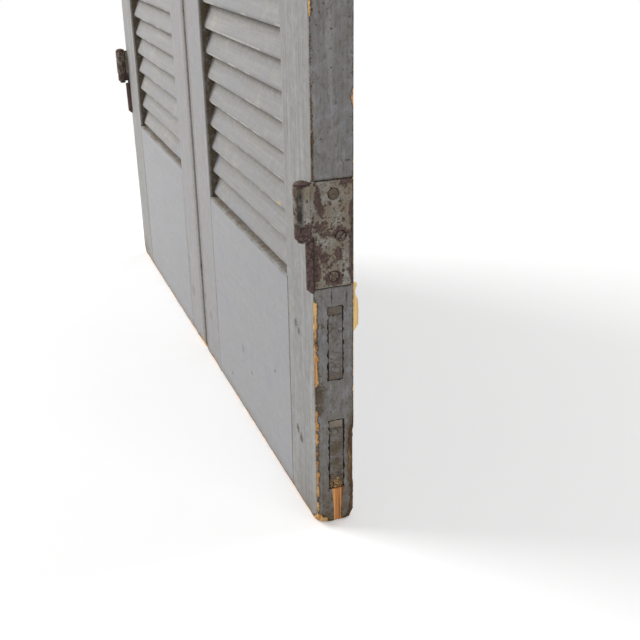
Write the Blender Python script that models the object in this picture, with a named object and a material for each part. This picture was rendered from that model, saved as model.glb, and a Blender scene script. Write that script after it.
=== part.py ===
"""Pair of arched louvered doors: two framed leaves of fixed slats, each turning on three riveted pins."""

import math

import bmesh
import bpy

# Driving sizes of one leaf, in metres.
LEAF_WIDTH = 0.395
LEAF_THICK = 0.035
MEETING_GAP = 0.005
SPRING_Z = 1.700
STILE_WIDTH = 0.067
ARCH_WIDTH = 0.067
BOTTOM_RAIL_HEIGHT = 0.218
MID_RAIL_Z = 0.930
MID_RAIL_HEIGHT = 0.100

# Joinery.
TENON_THICK = 0.0130
TENON_FROM_FRONT = 0.0120
LOWER_TENON_Z = 0.042
LOWER_TENON_HEIGHT = 0.055
UPPER_TENON_DROP = 0.0135
UPPER_TENON_HEIGHT = 0.053
MID_TENON_UP = 0.022
MID_TENON_HEIGHT = 0.056
STUB_TENON_LENGTH = 0.040
WEDGE_THICK = 0.007
WEDGE_LENGTH = 0.045
WEDGE_TIP = 0.0006
POST_TENON_WIDTH = 0.033
POST_TENON_HEIGHT = 0.045
ARCH_TENON_DROP = 0.012
ARCH_TENON_HEIGHT = 0.045

# Louvers. The pitch is a target, and each bank shares its height out evenly.
SLAT_PITCH = 0.0254
SLAT_THICK = 0.0080
SLAT_TILT = math.radians(68.0)
SLAT_FRONT_SETBACK = 0.0055
SLAT_BACK_SETBACK = 0.0060
SLAT_RAIL_SPACE = 0.0015
SLAT_HOUSING = 0.0080
SLAT_ROOT = 0.0030
SHORTEST_SLAT = 0.040

# Hinges. The first three values are clear wood: over the bottom rail, under the mid tenon, under the arch.
BOTTOM_HINGE_RISE = 0.0115
MIDDLE_HINGE_DROP = 0.018
TOP_HINGE_DROP = 0.155
HINGE_HEIGHT = 0.0889
PLATE_THICK = 0.0025
PLATE_BACK_EDGE = 0.0010
KNUCKLE_RADIUS = 0.0068
PIN_RADIUS = 0.0032
AXIS_BEYOND_EDGE = 0.0010
AXIS_BEFORE_FACE = 0.0092
ROLL_RADIUS = 0.0040
ROLL_REACH = 0.0056
ROLL_TOP_DROP = 0.0032
ROLL_INWARD = 0.0020
ROLL_TIP = 0.0040
NECK_INSET = 0.0004
PIN_HEAD_RADIUS = 0.0060
PIN_HEAD_RIM = 0.0009
PIN_CROWN_RADIUS = 0.0036
PIN_CROWN_RISE = 0.0013
PIN_TOP_RISE = 0.0004
PIN_FOOT_RADIUS = 0.0042
PIN_FOOT_DROP = 0.0026
PIN_FOOT_BAND = 0.0010
PIN_FOOT_CHAMFER = 0.0005
PIN_COLLAR_GAP = 0.0006

# Screws: name, height from the middle of the plate, distance from the leaf's front face.
SCREWS = (("upper", 0.0335, 0.0178), ("centre", -0.0020, 0.0238), ("lower", -0.0355, 0.0178))
SCREW_HEAD_RADIUS = 0.0044
SCREW_HEAD_DEPTH = 0.0020
SCREW_RADIUS = 0.0020
SCREW_LENGTH = 0.026
SCREW_POINT = 0.005
SLOT_WIDTH = 0.0011
SLOT_DEPTH = 0.0008

# Clearances and cutting margins.
FIT = 0.0003
OVERCUT = 0.010

# Facets.
ARCH_STEPS = 16
CROWN_STEPS = 3
KNUCKLE_STEPS = 16
PIN_STEPS = 12
SCREW_STEPS = 10
ROLL_STEPS = 5

# Places that follow from the sizes. The right leaf is drawn, and the left one is its mirror image.
PROUD = AXIS_BEFORE_FACE + KNUCKLE_RADIUS
FRONT = PROUD - (LEAF_THICK + PROUD) / 2
BACK = FRONT + LEAF_THICK
MEET_X = MEETING_GAP / 2
OUTER_X = MEET_X + LEAF_WIDTH
OPEN_LEFT = MEET_X + STILE_WIDTH
OPEN_RIGHT = OUTER_X - STILE_WIDTH
ARCH_RADIUS = OUTER_X
ARCH_INNER = OUTER_X - ARCH_WIDTH
AXIS_X = OUTER_X + AXIS_BEYOND_EDGE
AXIS_Y = FRONT - AXIS_BEFORE_FACE
MID_RAIL_TOP = MID_RAIL_Z + MID_RAIL_HEIGHT
UPPER_TENON_Z = BOTTOM_RAIL_HEIGHT - UPPER_TENON_DROP - UPPER_TENON_HEIGHT
MID_TENON_Z = MID_RAIL_Z + MID_TENON_UP
BOTTOM_HINGE_Z = BOTTOM_RAIL_HEIGHT + BOTTOM_HINGE_RISE + HINGE_HEIGHT / 2
MIDDLE_HINGE_Z = MID_TENON_Z - WEDGE_THICK - MIDDLE_HINGE_DROP - HINGE_HEIGHT / 2
TOP_HINGE_Z = SPRING_Z - TOP_HINGE_DROP - HINGE_HEIGHT / 2
HINGE_LEVELS = (("bottom", BOTTOM_HINGE_Z), ("middle", MIDDLE_HINGE_Z), ("top", TOP_HINGE_Z))
TENON_FRONT = FRONT + TENON_FROM_FRONT
TENON_BACK = TENON_FRONT + TENON_THICK
SIDES = (("right", 1), ("left", -1))


def clear_scene():
    for obj in list(bpy.data.objects):
        bpy.data.objects.remove(obj, do_unlink=True)


def material(name, colour, roughness, metallic=0.0):
    made = bpy.data.materials.new(name)
    made.use_nodes = True
    shader = made.node_tree.nodes["Principled BSDF"]
    shader.inputs["Base Color"].default_value = (*colour, 1.0)
    shader.inputs["Roughness"].default_value = roughness
    shader.inputs["Metallic"].default_value = metallic
    return made


def painted_wood():
    return material("painted_wood", (0.37, 0.36, 0.36), 0.55)


def wedge_wood():
    return material("wedge_wood", (0.30, 0.25, 0.19), 0.75)


def hinge_iron():
    return material("hinge_iron", (0.17, 0.13, 0.11), 0.70, 0.6)


def pin_iron():
    return material("pin_iron", (0.10, 0.075, 0.06), 0.65, 0.7)


def screw_steel():
    return material("screw_steel", (0.22, 0.20, 0.18), 0.50, 0.8)


def lift(axis, along, pair):
    first, second = pair
    places = {"X": (along, first, second), "Y": (first, along, second), "Z": (first, second, along)}
    return places[axis]


def prism(outline, axis, low, high):
    """A closed outline drawn straight along an axis."""
    count = len(outline)
    points = [lift(axis, along, pair) for along in (low, high) for pair in outline]
    faces = [list(range(count)), list(range(count, 2 * count))]
    for here in range(count):
        after = (here + 1) % count
        faces.append([here, after, count + after, count + here])
    return points, faces


def box(x_range, y_range, z_range):
    (x0, x1), (y0, y1) = x_range, y_range
    return prism([(x0, y0), (x1, y0), (x1, y1), (x0, y1)], "Z", *z_range)


def turned(profile, axis, centre, steps):
    """A profile of (radius, along) points, closed on the axis at both ends, turned about that axis."""
    points = []
    rings = []
    for radius, along in profile:
        count = steps if radius > 0 else 1
        rings.append(list(range(len(points), len(points) + count)))
        for step in range(count):
            angle = 2 * math.pi * step / steps
            pair = (centre[0] + radius * math.cos(angle), centre[1] + radius * math.sin(angle))
            points.append(lift(axis, along, pair))
    faces = []
    for upper, lower in zip(rings, rings[1:]):
        for step in range(steps):
            after = (step + 1) % steps
            corners = [upper[step % len(upper)], upper[after % len(upper)]]
            corners += [lower[after % len(lower)], lower[step % len(lower)]]
            faces.append(list(dict.fromkeys(corners)))
    return points, faces


def rod(axis, centre, radius, low, high, steps):
    return turned([(0, low), (radius, low), (radius, high), (0, high)], axis, centre, steps)


def gathered(shapes):
    """Several separate solids held as one."""
    points = []
    faces = []
    for more_points, more_faces in shapes:
        start = len(points)
        points += more_points
        faces += [[start + corner for corner in face] for face in more_faces]
    return points, faces


def mesh_of(name, shape, side, origin):
    work = bmesh.new()
    corners = [
        work.verts.new((side * (x - origin[0]), y - origin[1], z - origin[2])) for x, y, z in shape[0]
    ]
    for face in shape[1]:
        work.faces.new([corners[corner] for corner in face])
    bmesh.ops.recalc_face_normals(work, faces=work.faces)
    mesh = bpy.data.meshes.new(name)
    work.to_mesh(mesh)
    work.free()
    return mesh


def added(name, shape, side, parent, surface=None, origin=(AXIS_X, AXIS_Y, 0.0), rounded=False):
    """Adds one piece, or a hidden cutter when it has no surface."""
    obj = bpy.data.objects.new(name, mesh_of(name, shape, side, origin))
    bpy.context.scene.collection.objects.link(obj)
    if parent:
        obj.parent = parent
    else:
        obj.location = (side * origin[0], origin[1], origin[2])
    if surface:
        obj.data.materials.append(surface)
    else:
        obj.hide_render = True
        obj.display_type = "WIRE"
    if rounded:
        obj.data.polygons.foreach_set("use_smooth", [True] * len(obj.data.polygons))
        obj.data.set_sharp_from_angle(angle=math.radians(35))
    return obj


def combined(obj, operation, tool):
    modifier = obj.modifiers.new(operation.lower(), "BOOLEAN")
    modifier.operation = operation
    modifier.object = tool
    modifier.solver = "EXACT"


def arc(radius, start, end, steps):
    """Points on a circle about the middle of the springing line, from one x to another."""
    first = math.acos(start / radius)
    last = math.acos(end / radius)
    angles = [first + (last - first) * step / steps for step in range(steps + 1)]
    return [(radius * math.cos(angle), SPRING_Z + radius * math.sin(angle)) for angle in angles]


def slat_outline(low, grow):
    """Cross-section of a slat whose lowest point is at this height, front edge lower than the back edge."""
    half = SLAT_THICK / 2
    along = (math.cos(SLAT_TILT), math.sin(SLAT_TILT))
    across = (-along[1], along[0])
    reach = half * math.sin(SLAT_TILT)
    depth = LEAF_THICK - SLAT_FRONT_SETBACK - SLAT_BACK_SETBACK - 2 * reach
    length = depth / along[0]
    start = (FRONT + SLAT_FRONT_SETBACK + reach, low + reach)
    size = half + grow
    nose = ((0, 0, size), (0, -size, 0), (0, 0, -size))
    tail = ((1, 0, -size), (1, size, 0), (1, 0, size))
    outline = []
    for at, back, over in nose + tail:
        run = at * length + back
        outline.append(tuple(start[axis] + along[axis] * run + across[axis] * over for axis in range(2)))
    return outline


def slat_rise():
    heights = [point[1] for point in slat_outline(0.0, 0.0)]
    return max(heights) - min(heights)


def slat_levels():
    """Lowest height of every slat, in the bank under the mid rail and in the bank over it."""
    crown = SPRING_Z + math.sqrt(ARCH_INNER**2 - (OPEN_LEFT + SHORTEST_SLAT) ** 2)
    levels = []
    for floor, ceiling in ((BOTTOM_RAIL_HEIGHT, MID_RAIL_Z), (MID_RAIL_TOP, crown)):
        room = ceiling - floor - 2 * SLAT_RAIL_SPACE - slat_rise()
        spaces = max(1, round(room / SLAT_PITCH))
        for number in range(spaces + 1):
            levels.append(floor + SLAT_RAIL_SPACE + number * room / spaces)
    return levels


def slats(grow):
    """All slats of a leaf, longer than the opening, so that the louver field trims them."""
    ends = (OPEN_LEFT - SLAT_ROOT, OUTER_X)
    return gathered([prism(slat_outline(level, grow), "X", *ends) for level in slat_levels()])


def louver_field(grow):
    """The space that slats may fill: the opening and the housings round its outer side and head."""
    radius = ARCH_INNER + SLAT_HOUSING + grow
    left = OPEN_LEFT - SLAT_ROOT - OVERCUT
    outline = [(left, 0.0), (OPEN_RIGHT + SLAT_HOUSING + grow, 0.0)]
    outline += arc(radius, min(radius, OPEN_RIGHT + SLAT_HOUSING + grow), left, ARCH_STEPS)
    return prism(outline, "Y", FRONT - OVERCUT, BACK + OVERCUT)


def trimmed_slats(name, grow, side, parent):
    tool = added(name, slats(grow), side, parent)
    combined(tool, "INTERSECT", added(name + "_field", louver_field(grow), side, parent))
    return tool


def through_tenons():
    """Name, foot and height of each tenon that runs through the hinge stile."""
    return (
        ("bottom_rail_lower", LOWER_TENON_Z, LOWER_TENON_HEIGHT),
        ("bottom_rail_upper", UPPER_TENON_Z, UPPER_TENON_HEIGHT),
        ("mid_rail", MID_TENON_Z, MID_TENON_HEIGHT),
    )


def through_mortise(foot, height):
    """Opening that spreads towards the outer edge, so that the wedges lock the tenon."""
    spread = WEDGE_THICK * (WEDGE_LENGTH + OVERCUT) / WEDGE_LENGTH
    low = foot - FIT
    high = foot + height + FIT
    start = OUTER_X - WEDGE_LENGTH
    outline = [(OPEN_RIGHT - OVERCUT, low), (start, low), (OUTER_X + OVERCUT, low - spread)]
    outline += [(OUTER_X + OVERCUT, high + spread), (start, high), (OPEN_RIGHT - OVERCUT, high)]
    return prism(outline, "Y", TENON_FRONT - FIT, TENON_BACK + FIT)


def wedge_shape(face, away):
    """A wedge driven beside a tenon face, above it (away = 1) or below it (away = -1)."""
    tip = (FIT + WEDGE_TIP) / WEDGE_THICK
    tip_x = OUTER_X - WEDGE_LENGTH * (1 - tip)
    outline = [(tip_x, face + away * FIT), (OUTER_X, face + away * FIT)]
    outline += [(OUTER_X, face + away * WEDGE_THICK), (tip_x, face + away * WEDGE_THICK * tip)]
    return prism(outline, "Y", TENON_FRONT, TENON_BACK)


def stub_mortise(foot, height):
    ends = (OPEN_LEFT - STUB_TENON_LENGTH - FIT, OPEN_LEFT + OVERCUT)
    return box(ends, (TENON_FRONT - FIT, TENON_BACK + FIT), (foot - FIT, foot + height + FIT))


def rail_shape(low, height, tenons):
    """A rail with tenons at both ends: through on the hinge side and stub on the meeting side."""
    left = OPEN_LEFT + FIT
    right = OPEN_RIGHT - FIT
    body = box((left, right), (FRONT, BACK), (low, low + height))
    ends = (OPEN_LEFT - STUB_TENON_LENGTH, OUTER_X)
    return body, [box(ends, (TENON_FRONT, TENON_BACK), (foot, foot + tall)) for _, foot, tall in tenons]


def post_tenon(grow, foot):
    """Tenon on top of the hinge stile, or its mortise in the arched rail."""
    middle = (OPEN_RIGHT + OUTER_X) / 2
    half = POST_TENON_WIDTH / 2 + grow
    thick = (TENON_FRONT - grow, TENON_BACK + grow)
    return box((middle - half, middle + half), thick, (foot, SPRING_Z + POST_TENON_HEIGHT + grow))


def arch_tenon_foot():
    crown = SPRING_Z + math.sqrt(ARCH_RADIUS**2 - OPEN_LEFT**2)
    return crown - ARCH_TENON_DROP - ARCH_TENON_HEIGHT


def hinge_gain(level):
    """Shallow recess that lets the hinge plate lie flush in the stile's edge."""
    half = HINGE_HEIGHT / 2 + FIT
    depth = (OUTER_X - PLATE_THICK - FIT, OUTER_X + OVERCUT)
    return box(depth, (FRONT - OVERCUT, BACK - PLATE_BACK_EDGE + FIT), (level - half, level + half))


def screw_places(level):
    return [(name, (FRONT + deep, level + up)) for name, up, deep in SCREWS]


def screw_profile(grow):
    """Countersunk screw from its head on the plate's face to its point in the stile."""
    neck = OUTER_X - SCREW_HEAD_DEPTH
    point = OUTER_X - SCREW_LENGTH
    return [
        (0, OUTER_X),
        (SCREW_HEAD_RADIUS + grow, OUTER_X),
        (SCREW_RADIUS + grow, neck),
        (SCREW_RADIUS + grow, point + SCREW_POINT),
        (0, point - grow),
    ]


def screw_hole(place):
    profile = screw_profile(FIT)
    mouth = [(0, OUTER_X + OVERCUT), (SCREW_HEAD_RADIUS + FIT, OUTER_X + OVERCUT)]
    return turned(mouth + profile[1:], "X", place, SCREW_STEPS)


def screw_slot(place):
    half = SLOT_WIDTH / 2
    across = SCREW_HEAD_RADIUS + FIT
    y_range = (place[0] - across, place[0] + across)
    z_range = (place[1] - half, place[1] + half)
    return box((OUTER_X - SLOT_DEPTH, OUTER_X + OVERCUT), y_range, z_range)


def plate_shape(level):
    """Hinge plate with a tongue in front of its upper half, which reaches the knuckle's middle."""
    low = level - HINGE_HEIGHT / 2
    high = level + HINGE_HEIGHT / 2
    edge = FRONT - ROLL_RADIUS / 2
    outline = [(BACK - PLATE_BACK_EDGE, low), (edge, low), (edge, level + NECK_INSET)]
    outline += [(AXIS_Y, level + NECK_INSET), (AXIS_Y, high - NECK_INSET)]
    outline += [(edge, high - NECK_INSET), (edge, high), (BACK - PLATE_BACK_EDGE, high)]
    return prism(outline, "X", OUTER_X - PLATE_THICK, OUTER_X)


def roll_shape(level):
    """Rounded front edge of the plate's lower half, clear of the pin's foot, with a point under it."""
    low = level - HINGE_HEIGHT / 2
    centre = (OUTER_X - ROLL_INWARD, FRONT - FIT)
    ring = []
    for step in range(ROLL_STEPS + 1):
        angle = math.pi * (1 + step / ROLL_STEPS)
        ring.append((centre[0] + ROLL_RADIUS * math.cos(angle), centre[1] + ROLL_REACH * math.sin(angle)))
    points, faces = prism(ring, "Z", level - ROLL_TOP_DROP, low)
    count = len(ring)
    points.append((centre[0], centre[1], low - ROLL_TIP))
    faces.remove(list(range(count, 2 * count)))
    for here in range(count):
        faces.append([count + here, count + (here + 1) % count, 2 * count])
    return points, faces


def add_hinge_stile(side, name, parent, surface):
    body = box((OPEN_RIGHT, OUTER_X), (FRONT, BACK), (0.0, SPRING_Z))
    stile = added(name + "_hinge_stile", body, side, parent, surface)
    combined(stile, "UNION", added(name + "_post_tenon", post_tenon(0.0, SPRING_Z - OVERCUT), side, parent))
    cuts = [through_mortise(foot, height) for _, foot, height in through_tenons()]
    cuts += [hinge_gain(level) for _, level in HINGE_LEVELS]
    combined(stile, "DIFFERENCE", added(name + "_stile_cuts", gathered(cuts), side, parent))
    holes = [screw_hole(place) for _, level in HINGE_LEVELS for _, place in screw_places(level)]
    combined(stile, "DIFFERENCE", added(name + "_pilot_holes", gathered(holes), side, parent))
    combined(stile, "DIFFERENCE", trimmed_slats(name + "_stile_housings", FIT, side, parent))


def add_meeting_stile(side, name, parent, surface):
    outline = [(MEET_X, 0.0), (OPEN_LEFT, 0.0)] + arc(ARCH_RADIUS, OPEN_LEFT, MEET_X, CROWN_STEPS)
    stile = added(name + "_meeting_stile_louvers", prism(outline, "Y", FRONT, BACK), side, parent, surface)
    cuts = [stub_mortise(foot, height) for _, foot, height in through_tenons()]
    cuts.append(stub_mortise(arch_tenon_foot(), ARCH_TENON_HEIGHT))
    combined(stile, "DIFFERENCE", added(name + "_stub_mortises", gathered(cuts), side, parent))
    combined(stile, "UNION", trimmed_slats(name + "_slats", 0.0, side, parent))


def add_rail(side, name, parent, surface, low, height, tenons):
    body, tongues = rail_shape(low, height, tenons)
    rail = added(name, body, side, parent, surface)
    combined(rail, "UNION", added(name + "_tenons", gathered(tongues), side, parent))


def add_arch_rail(side, name, parent, surface):
    outline = arc(ARCH_RADIUS, ARCH_RADIUS, OPEN_LEFT + FIT, ARCH_STEPS)
    outline += arc(ARCH_INNER, OPEN_LEFT + FIT, ARCH_INNER, ARCH_STEPS)
    outline = [(x, max(z, SPRING_Z + FIT)) for x, z in outline]
    rail = added(name + "_arch_rail", prism(outline, "Y", FRONT, BACK), side, parent, surface)
    foot = arch_tenon_foot()
    ends = (OPEN_LEFT - STUB_TENON_LENGTH, OPEN_LEFT + OVERCUT)
    tongue = box(ends, (TENON_FRONT, TENON_BACK), (foot, foot + ARCH_TENON_HEIGHT))
    combined(rail, "UNION", added(name + "_arch_tenon", tongue, side, parent))
    mortise = post_tenon(FIT, SPRING_Z - OVERCUT)
    combined(rail, "DIFFERENCE", added(name + "_post_mortise", mortise, side, parent))
    combined(rail, "DIFFERENCE", trimmed_slats(name + "_arch_housings", FIT, side, parent))


def add_wedges(side, name, parent, surface):
    for tenon, foot, height in through_tenons():
        for place, face, away in (("under", foot, -1), ("over", foot + height, 1)):
            added(f"{name}_{tenon}_wedge_{place}", wedge_shape(face, away), side, parent, surface)


def add_hinge(side, name, parent, surface, level):
    high = level + HINGE_HEIGHT / 2
    axis = (AXIS_X, AXIS_Y)
    hinge = added(name + "_hinge", plate_shape(level), side, parent, surface)
    barrel = rod("Z", axis, KNUCKLE_RADIUS, level, high, KNUCKLE_STEPS)
    combined(hinge, "UNION", added(name + "_barrel", barrel, side, parent))
    combined(hinge, "UNION", added(name + "_roll", roll_shape(level), side, parent))
    cuts = [screw_hole(place) for _, place in screw_places(level)]
    cuts.append(rod("Z", axis, PIN_RADIUS + FIT, level - OVERCUT, high + OVERCUT, PIN_STEPS))
    combined(hinge, "DIFFERENCE", added(name + "_bores", gathered(cuts), side, parent))


def add_pin(side, name, surface, level):
    """Riveted pin: a low domed head over the knuckle and a spread foot under it."""
    seat = level + HINGE_HEIGHT / 2 + FIT
    crown = seat + PIN_HEAD_RIM + PIN_CROWN_RISE
    foot = level - PIN_FOOT_DROP
    head = [(0, crown + PIN_TOP_RISE), (PIN_CROWN_RADIUS, crown)]
    head += [(PIN_HEAD_RADIUS, seat + PIN_HEAD_RIM), (PIN_HEAD_RADIUS, seat)]
    shank = [(PIN_RADIUS, seat), (PIN_RADIUS, level - PIN_COLLAR_GAP)]
    band = foot + PIN_FOOT_CHAMFER
    bell = [(PIN_FOOT_RADIUS, band + PIN_FOOT_BAND), (PIN_FOOT_RADIUS, band)]
    flat = [(PIN_FOOT_RADIUS - PIN_FOOT_CHAMFER, foot), (0, foot)]
    profile = head + shank + bell + flat
    shape = turned(profile, "Z", (AXIS_X, AXIS_Y), PIN_STEPS)
    added(name + "_pin", shape, side, None, surface, (AXIS_X, AXIS_Y, level), True)


def add_screws(side, name, parent, surface, level):
    for which, place in screw_places(level):
        shape = turned(screw_profile(0.0), "X", place, SCREW_STEPS)
        screw = added(f"{name}_screw_{which}", shape, side, parent, surface)
        slot = added(f"{name}_slot_{which}", screw_slot(place), side, parent)
        combined(screw, "DIFFERENCE", slot)


def add_leaf(name, side):
    axis = bpy.data.objects.new(name + "_swing_axis", None)
    axis.location = (side * AXIS_X, AXIS_Y, 0.0)
    bpy.context.scene.collection.objects.link(axis)
    lower, upper, mid = through_tenons()
    add_hinge_stile(side, name, axis, painted_wood())
    add_meeting_stile(side, name, axis, painted_wood())
    add_rail(side, name + "_bottom_rail", axis, painted_wood(), 0.0, BOTTOM_RAIL_HEIGHT, (lower, upper))
    add_rail(side, name + "_mid_rail", axis, painted_wood(), MID_RAIL_Z, MID_RAIL_HEIGHT, (mid,))
    add_arch_rail(side, name, axis, painted_wood())
    add_wedges(side, name, axis, wedge_wood())
    for place, level in HINGE_LEVELS:
        add_hinge(side, f"{name}_{place}", axis, hinge_iron(), level)
        add_screws(side, f"{name}_{place}", axis, screw_steel(), level)
        add_pin(side, f"{name}_{place}", pin_iron(), level)


def build():
    clear_scene()
    for name, side in SIDES:
        add_leaf(name, side)


build()
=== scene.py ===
"""Looks of a pair of arched louvered doors in worn grey paint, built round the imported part."""

import math
import random

import bmesh
import bpy
from mathutils import Matrix, Quaternion, Vector, noise

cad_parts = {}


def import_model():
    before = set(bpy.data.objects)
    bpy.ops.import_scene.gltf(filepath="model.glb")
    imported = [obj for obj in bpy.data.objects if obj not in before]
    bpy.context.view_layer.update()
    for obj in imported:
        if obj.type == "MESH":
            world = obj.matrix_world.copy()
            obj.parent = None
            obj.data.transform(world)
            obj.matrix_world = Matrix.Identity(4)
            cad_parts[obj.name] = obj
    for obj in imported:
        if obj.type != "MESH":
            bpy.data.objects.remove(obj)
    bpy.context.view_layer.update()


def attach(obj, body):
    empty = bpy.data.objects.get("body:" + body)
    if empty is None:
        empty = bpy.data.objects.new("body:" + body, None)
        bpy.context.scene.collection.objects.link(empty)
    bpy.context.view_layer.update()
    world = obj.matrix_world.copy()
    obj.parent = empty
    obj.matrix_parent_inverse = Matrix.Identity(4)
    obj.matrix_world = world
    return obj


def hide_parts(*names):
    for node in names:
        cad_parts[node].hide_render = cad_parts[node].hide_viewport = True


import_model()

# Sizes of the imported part, in metres.
LEAF_THICK = 0.035
MEET_X = 0.0025
OUTER_X = 0.3975
OPEN_LEFT = 0.0695
OPEN_RIGHT = 0.3305
FRONT = -0.0095
BACK = FRONT + LEAF_THICK
SPRING_Z = 1.700
ARCH_RADIUS = OUTER_X
ARCH_INNER = OPEN_RIGHT
BOTTOM_RAIL_TOP = 0.218
MID_RAIL_Z = 0.930
MID_RAIL_TOP = 1.030
TENON_FRONT = FRONT + 0.0120
TENON_BACK = FRONT + 0.0250
TENONS = {
    "bottom_rail_lower": (0.042, 0.097),
    "bottom_rail_upper": (0.1515, 0.2045),
    "mid_rail": (0.952, 1.008),
}
WEDGE_THICK = 0.007
WEDGE_LENGTH = 0.045
HINGE_LEVELS = {"bottom": 0.27395, "middle": 0.88255, "top": 1.50055}
HINGE_HALF = 0.04445
PLATE_THICK = 0.0025
PLATE_BACK = BACK - 0.0010
AXIS_X = OUTER_X + 0.0010
AXIS_Y = FRONT - 0.0092
KNUCKLE_RADIUS = 0.0068
ROLL_RADIUS = 0.0040
ROLL_REACH = 0.0056
ROLL_TOP_DROP = 0.0032
ROLL_X = OUTER_X - 0.0020
ROLL_TIP = 0.0040
PIN_RADIUS = 0.0032
PIN_HEAD_RADIUS = 0.0060
PIN_FOOT_RADIUS = 0.0042
PIN_FOOT_DROP = 0.0026
SCREWS = {"upper": (0.0335, 0.0178), "centre": (-0.0020, 0.0238), "lower": (-0.0355, 0.0178)}
SCREW_HEAD_RADIUS = 0.0044
SLAT_PITCH = 0.0254
SLAT_THICK = 0.0080
SLAT_TILT = math.radians(68.0)
SLAT_SETBACK = 0.0055
SLAT_BACK_SETBACK = 0.0060
SLAT_RAIL_SPACE = 0.0015
SHORTEST_SLAT = 0.040
FIT = 0.0003

# How finely the boards are cut, and how their joints and housings fit.
EDGE_CUTS = (0.0032, 0.0042, 0.0054, 0.0074)
FINE_STEP = 0.0016
COARSE_STEP = 0.0060
BROAD_STEP = 0.008
FINE_TOP = 0.390
SLAT_SEAT = 0.002
MORTISE_GAP = 0.0008
RIM_CUT = 0.0008
GAIN_CUT = 0.0001
TENON_SHY = 0.0004
GAIN_GAP = 0.0012
GAIN_BACK = BACK - 0.0012
HOUSED_FRONT = FRONT + 0.002
HOUSED_BACK = BACK - 0.002
NEAR = 1e-6
SHARP_ANGLE = math.radians(38)

# Rounding of the corners, and how far hand-worked surfaces waver.
STILE_ROUND = 0.0011
STILE_INNER_ROUND = 0.0005
MEETING_ROUND = 0.0031
MEETING_BACK_ROUND = 0.0008
RAIL_ROUND = 0.0016
PLATE_ROUND = 0.0004
SLAT_NOSE = SLAT_THICK * 0.49
STILE_WAVER = 0.00014
BOARD_WAVER = 0.00012
IRON_WAVER = 0.00016

# Sizes of wear and dirt on the boards.
WEAR_REACH = 0.0075
FOOT_BITE = 0.25
FLOOR_BITE = 0.30
FLOOR_WEAR = 0.0024
FLOOR_BACK_WEAR = 0.0014
RAIL_WEAR = 0.0002
UNWORN = -9.0
FOOT_DIRT = 0.014
LEDGE_CREEP = 0.0019
CHIP_HALF = (0.003, 0.016)
RIM_BREAK = 0.0012
RIM_FRAY = 0.0017
GAIN_FRAY = 0.0007
STRIP_MIDDLE = FRONT + 0.0187
STRIP_LEAN = 0.0010
STRIP_HALF = 0.0034
STRIP_SPREAD = 0.0024
STRIP_DEPTH = 0.0006
FRONT_KNOCK = (0.009, 0.008, 0.008)
BACK_KNOCK = (0.007, 0.0055, 0.011)

# Shapes of the arch, the knuckles and the screws.
ARCH_SWEEP = math.radians(82.0)
ARCH_STEPS = 110
CROWN_START = SPRING_Z - 0.40
KNUCKLE_SOFT = 0.0012
KNUCKLE_SLIM = 0.0006
KNUCKLE_BARE = 0.0130
HOLE_RADIUS = 0.0022
HOLE_DEPTH = 0.012
SCREW_SHANK = 0.0019
SCREW_LENGTH = 0.024
SCREW_SUNK = 0.0002
SLOT_HALF = 0.0006

# The camera stands where the photograph was taken from.
CAMERA_PLACE = (1.0482, -0.2492, 0.5125)
CAMERA_AZIMUTH = math.radians(69.399)
CAMERA_ELEVATION = math.radians(24.060)
CAMERA_ROLL = math.radians(-0.884)
CAMERA_LENS = 52.2135
CAMERA_SENSOR = 36.0

# Lamps (place, target and power), the light all round, and the floor.
LAMPS = {
    "key": ((-1.8, -2.3, 2.5), (0.1, 0.0, 0.4), 104.0),
    "side_fill": ((2.6, 0.7, 1.5), (0.4, 0.0, 0.3), 16.0),
    "back_fill": ((-0.4, 2.8, 1.8), (0.1, 0.0, 0.8), 40.0),
}
LAMP_SIZE = 2.0
SKY_LIGHT = 0.40
FLOOR_REACH = 8.0
FLOOR_DROP = 0.0006

# How far from the doors their shadow fades out on the floor.
SHADOW_FADE = (0.45, 1.25)

# Faces of a right leaf's boards: axis, place and the direction into the wood.
X, Y, Z = 0, 1, 2
OUTER_EDGE = (X, OUTER_X, -1)
INNER_EDGE = (X, OPEN_RIGHT, 1)
MEETING_EDGE = (X, MEET_X, 1)
LOUVER_EDGE = (X, OPEN_LEFT, -1)
FRONT_FACE = (Y, FRONT, 1)
BACK_FACE = (Y, BACK, -1)
FLOOR_END = (Z, 0.0, 1)

# Depth range of the mortises and of the tenons in them.
MORTISE_ACROSS = (Y, TENON_FRONT - MORTISE_GAP, TENON_BACK + MORTISE_GAP)
TENON_ACROSS = (Y, TENON_FRONT + TENON_SHY, TENON_BACK - TENON_SHY)

# Leaves are built as right-hand ones and mirrored. The photograph shows the right one's outer edge.
SIDES = {"right": 1, "left": -1}
SEEN_LEAF = "right"


def tone(red, green, blue):
    """A colour written in screen values from 0 to 255."""
    parts = []
    for value in (red, green, blue):
        share = value / 255.0
        parts.append(share / 12.92 if share <= 0.04045 else ((share + 0.055) / 1.055) ** 2.4)
    return (*parts, 1.0)


def shaded(colour, share):
    """A colour made darker or lighter."""
    return (*(value * share for value in colour[:3]), 1.0)


# Node helpers.


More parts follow.
